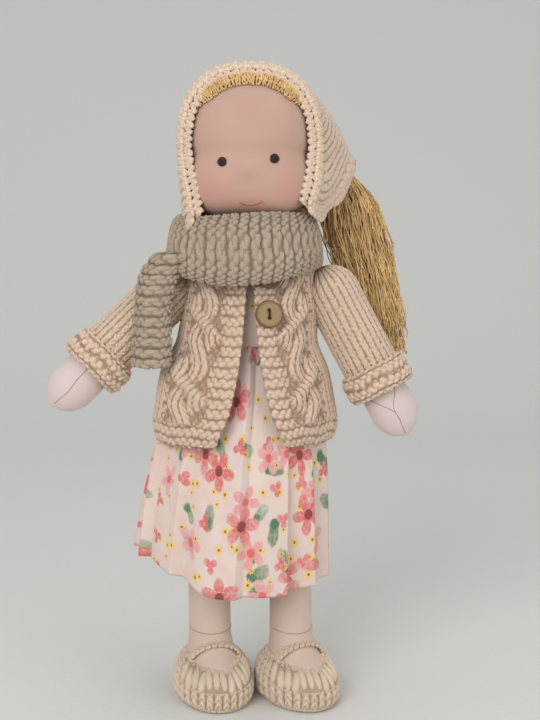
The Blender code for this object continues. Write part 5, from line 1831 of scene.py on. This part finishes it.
@dataclass
class Dress:
    """The cotton dress: its bodice and its pleated skirt.

    The flare is a table of shares of the skirt's length, from the hem up, with how far the skirt is flared at each.
    """

    ease: float = 0.0016
    bodice_bottom: float = 0.2040
    bodice_length: float = 0.0460
    hem_height: float = 0.0711
    length: float = 0.1340
    waist_half: tuple[float, float] = (0.0277, 0.0207)
    flare_half: tuple[float, float] = (0.0249, 0.0214)
    flare_places: tuple[float, ...] = (0.0, 0.22, 0.42, 0.66, 0.84, 1.0)
    flares: tuple[float, ...] = (1.0, 0.91, 0.80, 0.62, 0.34, 0.0)
    hem_sway: float = -0.0095
    pleats: int = 12
    pleat_depth: float = 0.0066
    pleat_share: float = 0.86
    hem_stitches: int = 150
    bend_start: tuple[float, float, float] = (AXIS[0], 0, 0.172)
    bend_end: tuple[float, float, float] = (AXIS[0], 0, 0.110)

    def bodice(self, u: Array, v: Array) -> Array:
        """The bodice, a little off the torso.

        Args:
            u: Shares round it.
            v: Shares from the waist to the neck.

        Returns:
            The points.
        """
        turn = 2 * pi * u
        height = self.bodice_bottom + self.bodice_length * v
        width, depth = torso_sizes(height)
        return points_of((width + self.ease) * np.cos(turn), (depth + self.ease) * np.sin(turn), height)

    def skirt(self, u: Array, v: Array) -> Array:
        """The skirt with its uneven knife pleats.

        Args:
            u: Shares round it.
            v: Shares from the hem up to the waist.

        Returns:
            The points.
        """
        turn = 2 * pi * u
        flare = follow(self.flare_places, self.flares, v)
        width = self.waist_half[0] + self.flare_half[0] * flare
        depth = self.waist_half[1] + self.flare_half[1] * flare
        phase = self.pleats * turn + 1.1 * np.sin(2 * turn + 0.6) + 0.7 * np.sin(3 * turn + 2.1)
        saw = (phase / (2 * pi)) % 1.0
        rise = self.pleat_share
        knife = np.where(saw < rise, (saw / rise) ** 1.3, 1 - (saw - rise) / (1 - rise))
        fold = self.pleat_depth * (knife - 0.50) * (0.30 + 0.70 * (1 - v) ** 0.6)
        lean = (0.0020 * np.sin(4 * turn + 1.0) + 0.0012 * np.sin(9 * turn + 3.0 * v)) * flare
        tilt = (0.0145 * ramp(-np.cos(turn), 0.15, 1.0) - 0.0020 * ramp(np.sin(-turn), 0.3, 1.0)) * (1 - v)
        return points_of(
            self.hem_sway * flare ** 2 + (width + fold + lean) * np.cos(turn),
            (depth + fold + lean) * np.sin(turn), self.hem_height + self.length * v + tilt)

    def build(self) -> None:
        """Make the bodice and the skirt."""
        cotton = FLORAL.make()
        bodice = Panel(
            "bodice_cotton", 96, 40, self.bodice, size=(0.180, 0.046), thickness=0.0006).build(cotton)
        put_on(bodice, "torso", "dress_bodice")
        skirt = Panel(
            "skirt_cotton", 520, 90, self.skirt, size=(0.400, 0.136), thickness=0.0006).build(cotton)
        apply_modifiers(skirt)
        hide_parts("dress_skirt")
        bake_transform(skirt)
        log.info("skirt_cotton bends between torso and hips")
        self.build_hem()

    def build_hem(self) -> None:
        """Make the running stitches of the skirt's hem."""
        stitch = Threads("skirt_hem_seam", 0.00018)
        for i in range(self.hem_stitches):
            u = np.linspace(i / self.hem_stitches, (i + 0.6) / self.hem_stitches, 4)
            points = self.skirt(u, np.full(len(u), 0.030))
            stitch.lines.append(points + unit(points * [1, 1, 0]) * 0.0001)
        seam = stitch.build(PALE_THREAD.make())
        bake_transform(seam)
        log.info("skirt_hem_seam bends between torso and hips")


def apply_modifiers(piece: bpy.types.Object) -> None:
    """Turn a piece's modifiers into its mesh.

    Args:
        piece: The piece.
    """
    graph = bpy.context.evaluated_depsgraph_get()
    mesh = bpy.data.meshes.new_from_object(piece.evaluated_get(graph))
    mesh.name = piece.name
    piece.modifiers.clear()
    piece.data = mesh


@dataclass
class Cardigan:
    """The open cardigan with its cables, garter bands and two wooden buttons.

    The places run from the hem to the collar. At each of them it has how far it stands off the torso sideways and
    forward, how far it sways to the right and how wide its slit is, all as shares of the largest.
    """

    hem: float = 0.1510
    top: float = 0.2520
    middle: tuple[float, float, float] = (0, 0, 0.205)
    cloth: float = 0.0012
    thickness: float = 0.0020
    stand: tuple[float, float] = (0.0255, 0.0260)
    largest_sway: float = -0.0035
    slit_half: tuple[float, float] = (0.0016, 0.0184)
    twist: float = 0.034
    cable_middle: float = 0.0245
    cable_half: float = 0.0116
    gully: float = 0.0036
    front_band: float = 0.0110
    hem_band: float = 0.0125
    armhole_radius: float = 0.0164
    button_radius: float = 0.0075
    buttons: tuple[str, ...] = ("lower", "upper")
    places: tuple[float, ...] = (0.0, 0.19, 0.40, 0.56, 0.71, 0.84, 0.925, 0.97, 1.0)
    wide: tuple[float, ...] = (1.0, 0.87, 0.71, 0.47, 0.42, 0.44, 0.56, 0.55, 0.43)
    deep: tuple[float, ...] = (1.0, 0.84, 0.69, 0.54, 0.44, 0.37, 0.31, 0.27, 0.22)
    sway: tuple[float, ...] = (1.0, 1.0, 1.0, 0.55, 0.10, 0.0, 0.0, 0.0, 0.0)
    slit: tuple[float, ...] = (1.0, 0.52, 0.26, 0.14, 0.07, 0.02, 0.0, 0.0, 0.0)

    def section(self, v: Array) -> tuple[Array, Array, Array, Array, Array]:
        """The cardigan's section at shares of its height.

        Args:
            v: Shares from the hem to the collar.

        Returns:
            Height, half width, half depth, sideways shift and half of the slit's width.
        """
        height = self.hem + (self.top - self.hem) * v
        width, depth = torso_sizes(height)
        return (
            height, width + self.stand[0] * follow(self.places, self.wide, v) - self.cloth,
            depth + self.stand[1] * follow(self.places, self.deep, v) - self.cloth,
            self.largest_sway * follow(self.places, self.sway, v),
            self.slit_half[0] + self.slit_half[1] * follow(self.places, self.slit, v))

    def point(self, turn: Array, v: Array) -> Array:
        """Points over the cardigan's whole form.

        Args:
            turn: Turns from the front, positive to the doll's left.
            v: Shares from the hem to the collar.

        Returns:
            The points.
        """
        height, width, depth, shift, _ = self.section(v)
        wave = 0.0012 * np.sin(5 * turn + 0.7) * (1 - v)
        return points_of(shift + (width + wave) * np.sin(turn), -(depth + wave) * np.cos(turn), height)

    def front(self, sign: int) -> Shape:
        """A front's form.

        Args:
            sign: 1 for the left front and -1 for the right one.

        Returns:
            The shape, whose first direction runs from the front edge to the side seam.
        """
        def shape(u: Array, v: Array) -> Array:
            """Points of the front."""
            _, width, _, shift, edge = self.section(v)
            first = np.arcsin(np.clip((edge - sign * shift) / width, -1, 1))
            return self.point(sign * (first + (pi / 2 + 0.01 - first) * u), v)
        return shape

    def back(self, u: Array, v: Array) -> Array:
        """The back's form."""
        return self.point(pi / 2 + pi * u, v)

    def front_relief(self, across: Array, along: Array) -> Array:
        """Garter bands at the edge and the hem, a cable, and plain columns by the side seam.

        Args:
            across: Distances from the front edge.
            along: Heights over the hem.

        Returns:
            The height at each place, from 0 to 1.
        """
        return self.front_knit(across, along)[0]

    def front_shade(self, across: Array, along: Array) -> Array:
        """How much each place of a front stands out of its own stitches, which sets the painted shade in their
        hollows.
        """
        return self.front_knit(across, along)[1]

    def front_knit(self, across: Array, along: Array) -> tuple[Array, Array]:
        """The stitches of a front.

        Args:
            across: Distances from the front edge.
            along: Heights over the hem.

        Returns:
            The height over the cloth and the height over its own stitches, from 0 to 1; the second sets the painted
            shade.
        """
        ridge = garter(across, along)
        half = self.cable_half
        away = across - (self.cable_middle + 0.0014 * np.sin(2 * pi * along / self.twist + 0.8))
        rope = cable(away, along, half, self.twist)
        drift = across + 0.0040 * np.sin(2 * pi * along / self.twist)
        wales = stockinette(drift, along, 0.0037, 0.0032)
        plain = stockinette(across, along)
        on_rope = ramp(rope, 0.05, 0.35)
        is_cable = np.abs(away) < half
        height = np.where(is_cable, 2.0 * rope + 0.30 * on_rope * wales, 0.25 + 0.42 * plain)
        is_gully = (np.abs(away) < half + self.gully) & ~is_cable
        height = np.where(is_gully, 0.30 * ridge, height)
        # Painted shade: darker at the ropes' edges, in the gullies beside the cable and between the stitches.
        shade = np.where(is_cable, wales * (0.25 + 0.75 * rope), np.where(is_gully, 0.7 * ridge, plain))
        is_band = (across < self.front_band) | (along < self.hem_band)
        return np.where(is_band, 0.30 + 0.55 * ridge, height), np.where(is_band, ridge, shade)

    def back_relief(self, across: Array, along: Array) -> Array:
        """Plain columns over a garter hem."""
        return 0.55 * self.back_shade(across, along)

    def back_shade(self, across: Array, along: Array) -> Array:
        """The back's own stitches, which set the painted shade in their hollows."""
        return np.where(along < self.hem_band, garter(across, along), stockinette(across, along))

    def build(self) -> None:
        """Make the three panels and the buttons."""
        yarn = YARN_CREAM.make()
        pieces = []
        for side in Side:
            name = "cardigan_front_" + side.word
            panel = Panel(
                name + "_knit", 120, 180, self.front(side.value), self.front_relief, self.front_shade, 0.0021,
                (0.060, 0.102), centre=self.middle, closed=False, thickness=self.thickness)
            pieces.append((panel.build(yarn), name, (0.072, 0.102)))
        panel = Panel(
            "cardigan_back_knit", 230, 150, self.back, self.back_relief, self.back_shade, 0.0016,
            (0.134, 0.102), centre=self.middle, closed=False, thickness=self.thickness)
        pieces.append((panel.build(yarn), "cardigan_back", (0.150, 0.100)))
        for piece, name, flat in pieces:
            self.cut_armholes(piece)
            put_on(piece, "torso", name)
        for name in self.buttons:
            self.dress_button(name)

    def is_in_armhole(self, spot: Array, side: Side) -> bool:
        """Whether a spot is in a sleeve's way: a ball at the shoulder and a cone that opens outwards from it.

        Args:
            spot: The spot, from the body's axis.
            side: The sleeve's side.

        Returns:
            Whether it is.
        """
        radius = self.armhole_radius
        out = side.value * spot[0] - SHOULDER_OFFSET
        away = hypot(spot[1], spot[2] - SHOULDER_HEIGHT)
        if out < 0:
            return hypot(out, away) < radius
        spread = radians(28) if side is Side.LEFT else radians(38)
        return away < radius / cos(spread) + out * tan(spread)

    def cut_armholes(self, piece: bpy.types.Object) -> None:
        """Cut the ways of the sleeves out of a panel.

        Args:
            piece: The panel.
        """
        mesh = piece.data
        grid = bmesh.new()
        grid.from_mesh(mesh)
        doomed = []
        for face in grid.faces:
            spot = np.array(face.calc_center_median()) - AXIS
            if any(self.is_in_armhole(spot, side) for side in Side):
                doomed.append(face)
        bmesh.ops.delete(grid, geom=doomed, context="FACES")
        grid.to_mesh(mesh)
        grid.free()

    def dress_button(self, name: str) -> None:
        """Give a button's node its wood, and its thread a dark thread.

        Args:
            name: Which button it is.
        """
        middle = tuple((low + high) / 2 for low, high in zip(*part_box("button_" + name)))
        wood = Timber(
            "button_wood_" + name, (0.36, 0.25, 0.115), (0.20, 0.125, 0.05), middle, self.button_radius).make()
        dress_node("button_" + name, wood)
        dress_node("button_thread_" + name, EYE_THREAD.make())


@dataclass
class Scarf:
    """The garter-knit scarf: its wrap round the neck and its hanging end.

    The end's places run down from the wrap, with how far it hangs outwards and forwards at each of them, in shares.
    """

    stitch: tuple[float, float] = (0.0036, 0.0053)
    neck_half: tuple[float, float] = (0.0300, 0.0290)
    wrap_top: float = 0.2745
    wrap_width: float = 0.0275
    wrap_front_more: float = 0.0080
    wrap_stand: float = 0.0062
    wrap_half_thickness: float = 0.0052
    wrap_lean: float = 0.0022
    wrap_shift: float = -0.0030
    end_top: tuple[float, float, float] = (-0.0415, -0.0245, 0.2550)
    end_length: float = 0.0615
    end_half_width: float = 0.0094
    end_half_thickness: float = 0.0022
    end_places: tuple[float, ...] = (0, 0.22, 0.48, 0.76, 1)
    end_outwards: tuple[float, ...] = (0, 0.72, 1.0, 1.02, 1.10)
    end_forwards: tuple[float, ...] = (0, 0, -0.1, 0.4, 1.0)

    def wrap(self, u: Array, v: Array) -> Array:
        """The wrap, a flattened band that closes on itself in both directions.

        Args:
            u: Shares round the neck.
            v: Shares round the band's own section.

        Returns:
            The points.
        """
        turn = 2 * pi * u
        front = np.clip(-np.sin(turn), 0, None) ** 2
        inner = 1 / np.sqrt((np.cos(turn) / self.neck_half[0]) ** 2 + (np.sin(turn) / self.neck_half[1]) ** 2)
        half = (self.wrap_width + self.wrap_front_more * front) / 2
        wide, long = squared(2 * pi * v, 0.62)
        radius = inner + self.wrap_stand + self.wrap_half_thickness * wide - self.wrap_lean * long
        height = self.wrap_top - half + half * long - 0.0012 * np.sin(turn * 2 + 0.5)
        return points_of(self.wrap_shift + radius * np.cos(turn), radius * np.sin(turn), height)

    def end(self, u: Array, v: Array) -> Array:
        """The hanging end, a thin flat band with rounded edges.

        Args:
            u: Shares round its section.
            v: Shares from the wrap down to its lower edge.

        Returns:
            The points.
        """
        x, y, z = self.end_top
        x = x - 0.0110 * follow(self.end_places, self.end_outwards, v)
        y = y - 0.0020 * follow(self.end_places, self.end_forwards, v)
        ends = np.sqrt(np.clip(1 - np.abs(2 * v - 1) ** 40, 0, None))
        half = (self.end_half_width + 0.0005 * np.sin(9 * v)) * (0.2 + 0.8 * ends)
        sideways, forwards = squared(2 * pi * u, 0.6)
        return points_of(
            x + half * sideways, y + self.end_half_thickness * ends * forwards, z - self.end_length * v)

    def ridges(self, across: Array, along: Array) -> Array:
        """Garter ridges that lie across the hanging end."""
        return garter(across, along, *self.stitch)

    def upright_ridges(self, across: Array, along: Array) -> Array:
        """Garter ridges that stand upright round the neck."""
        return garter(along, across, *self.stitch)

    def build(self) -> None:
        """Make the scarf."""
        yarn = YARN_OAT.make()
        wrap = Panel(
            "scarf_wrap_knit", 400, 140, self.wrap, self.upright_ridges, None, 0.0017, (0.2226, 0.0756)).build(yarn)
        put_on(wrap, "torso", "scarf_wrap")
        end = Panel(
            "scarf_end_knit", 84, 116, self.end, self.ridges, None, 0.0015, (0.0432, 0.0583)).build(yarn)
        put_on(end, "torso", "scarf_tail")


def dress_node(name: str, material: bpy.types.Material) -> None:
    """Give one of the frame's nodes a material.

    Args:
        name: The node's name.
        material: Its material.
    """
    node = bpy.data.objects[name]
    for slot in node.material_slots:
        slot.material = material


@dataclass
class Inner:
    """The frame's nodes that stay as they are, inside the clothes and the skins."""

    fillings: tuple[str, ...] = (
        "torso_filling", "head_filling", "arm_filling_left", "arm_filling_right", "leg_filling_left",
        "leg_filling_right")
    threads: tuple[str, ...] = (
        "neck_tie", "eye_line_thread", "arm_stitches_left", "arm_stitches_right", "hip_stitches")

    def build(self) -> None:
        """Give each node the material of its fibre."""
        wool = WOOL_STUFF.make()
        thread = PALE_THREAD.make()
        for name in self.fillings:
            dress_node(name, wool)
        for name in self.threads:
            dress_node(name, thread)
        log.info("the nodes inside have their fibres")


@dataclass
class Studio:
    """The floor, the wall behind, the lights and the camera.

    The camera's reach is its focal length and its shifts, all in pixels of a picture 720 high. Each lamp has its
    name, its place, the height that it aims at over the doll's base, its size and its power.
    """

    wall: float = 0.75
    curve: float = 1.10
    half_width: float = 6.0
    eye: tuple[float, float, float] = (0.0089, -0.650, 0.280)
    pitch: float = radians(8.6)
    picture_height: float = 720
    focal: float = 1166
    shift: tuple[float, float] = (20, 22)
    room: float = 0.55
    lamps: tuple[tuple[str, tuple[float, float, float], float, float, float], ...] = (
        ("key", (-0.55, -1.15, 0.85), 0.18, 0.8, 10.0), ("fill", (0.95, -0.85, 0.50), 0.18, 1.0, 4.0),
        ("top", (0.1, 0.15, 1.35), 0.1, 0.9, 2.2))

    def pale(self, name: str, near: Colour, far: Colour) -> bpy.types.Material:
        """A plain pale surface with a faint grain, paler far behind where less light falls.

        Args:
            name: The material's name.
            near: Its colour under the doll.
            far: Its colour far behind.

        Returns:
            The material.
        """
        finish = Finish(name, 0.9, specular=0.1)
        place = finish.place()
        grain = finish.noise(place, 300.0, 2.0)
        _, depth, _ = finish.parts(place)
        finish.colour(finish.mix(depth.step(0.0, 1.5), near, far))
        finish.bump((grain, 0.0002))
        return finish.material

    def sweep(self) -> None:
        """Make the floor, which curves up into the wall behind."""
        grid = bmesh.new()
        bmesh.ops.create_grid(grid, x_segments=4, y_segments=200, size=1)
        for vertex in grid.verts:
            way = 5.0 * vertex.co.y + 1.0
            bend = min(max((way - self.wall) / self.curve, 0.0), pi / 2)
            rest = max(way - self.wall - self.curve * pi / 2, 0.0)
            vertex.co = (
                self.half_width * vertex.co.x, min(way, self.wall) + self.curve * sin(bend),
                self.curve * (1 - cos(bend)) + rest - 0.0003)
        mesh = bpy.data.meshes.new("sweep")
        grid.to_mesh(mesh)
        grid.free()
        paper = self.pale("pale_sweep", (0.72, 0.72, 0.69), (0.76, 0.76, 0.735))
        finish_object("sweep", mesh, paper)

    def lamp(self, name: str, place: Vector, aim: Vector, size: float, power: float) -> None:
        """Make a soft square lamp.

        Args:
            name: Its name.
            place: Where it stands.
            aim: What it points at.
            size: Its side.
            power: Its power, in watts.
        """
        light = bpy.data.lights.new(name, "AREA")
        light.size = size
        light.energy = power
        holder = bpy.data.objects.new(name, light)
        bpy.context.scene.collection.objects.link(holder)
        holder.location = place
        holder.rotation_euler = (aim - place).to_track_quat("-Z", "Y").to_euler()

    def build(self) -> None:
        """Make the stage, the lamps and the camera."""
        self.sweep()
        for name, place, aim, size, power in self.lamps:
            self.lamp(name, Vector(place), Vector((0, 0, aim)), size, power)
        world = bpy.data.worlds.new("soft_room")
        bpy.context.scene.world = world
        world.use_nodes = True
        sky = world.node_tree.nodes["Background"]
        sky.inputs["Color"].default_value = (1.0, 1.0, 1.0, 1.0)
        sky.inputs["Strength"].default_value = self.room
        self.build_camera()

    def build_camera(self) -> None:
        """Make the camera at the photograph's viewing angle."""
        lens = bpy.data.cameras.new("camera")
        lens.sensor_width = 36.0
        lens.lens = lens.sensor_width * self.focal / self.picture_height
        lens.shift_x, lens.shift_y = (part / self.picture_height for part in self.shift)
        camera = bpy.data.objects.new("camera", lens)
        bpy.context.scene.collection.objects.link(camera)
        camera.location = self.eye
        camera.rotation_euler = (pi / 2 - self.pitch, 0, 0)
        bpy.context.scene.camera = camera
        bpy.context.scene.view_settings.view_transform = "Standard"


def main() -> None:
    """Build the studio and then dress the doll, one sub-part after another."""
    Studio().build()
    for part in (
        Head(), Hair(), Hood(), Torso(), Arm(Side.LEFT), Arm(Side.RIGHT), Leg(Side.LEFT), Leg(Side.RIGHT),
        Dress(), Cardigan(), Scarf(), Inner(),
    ):
        part.build()
        log.info("%s is ready", type(part).__name__)


if __name__ == "__main__":
    main()
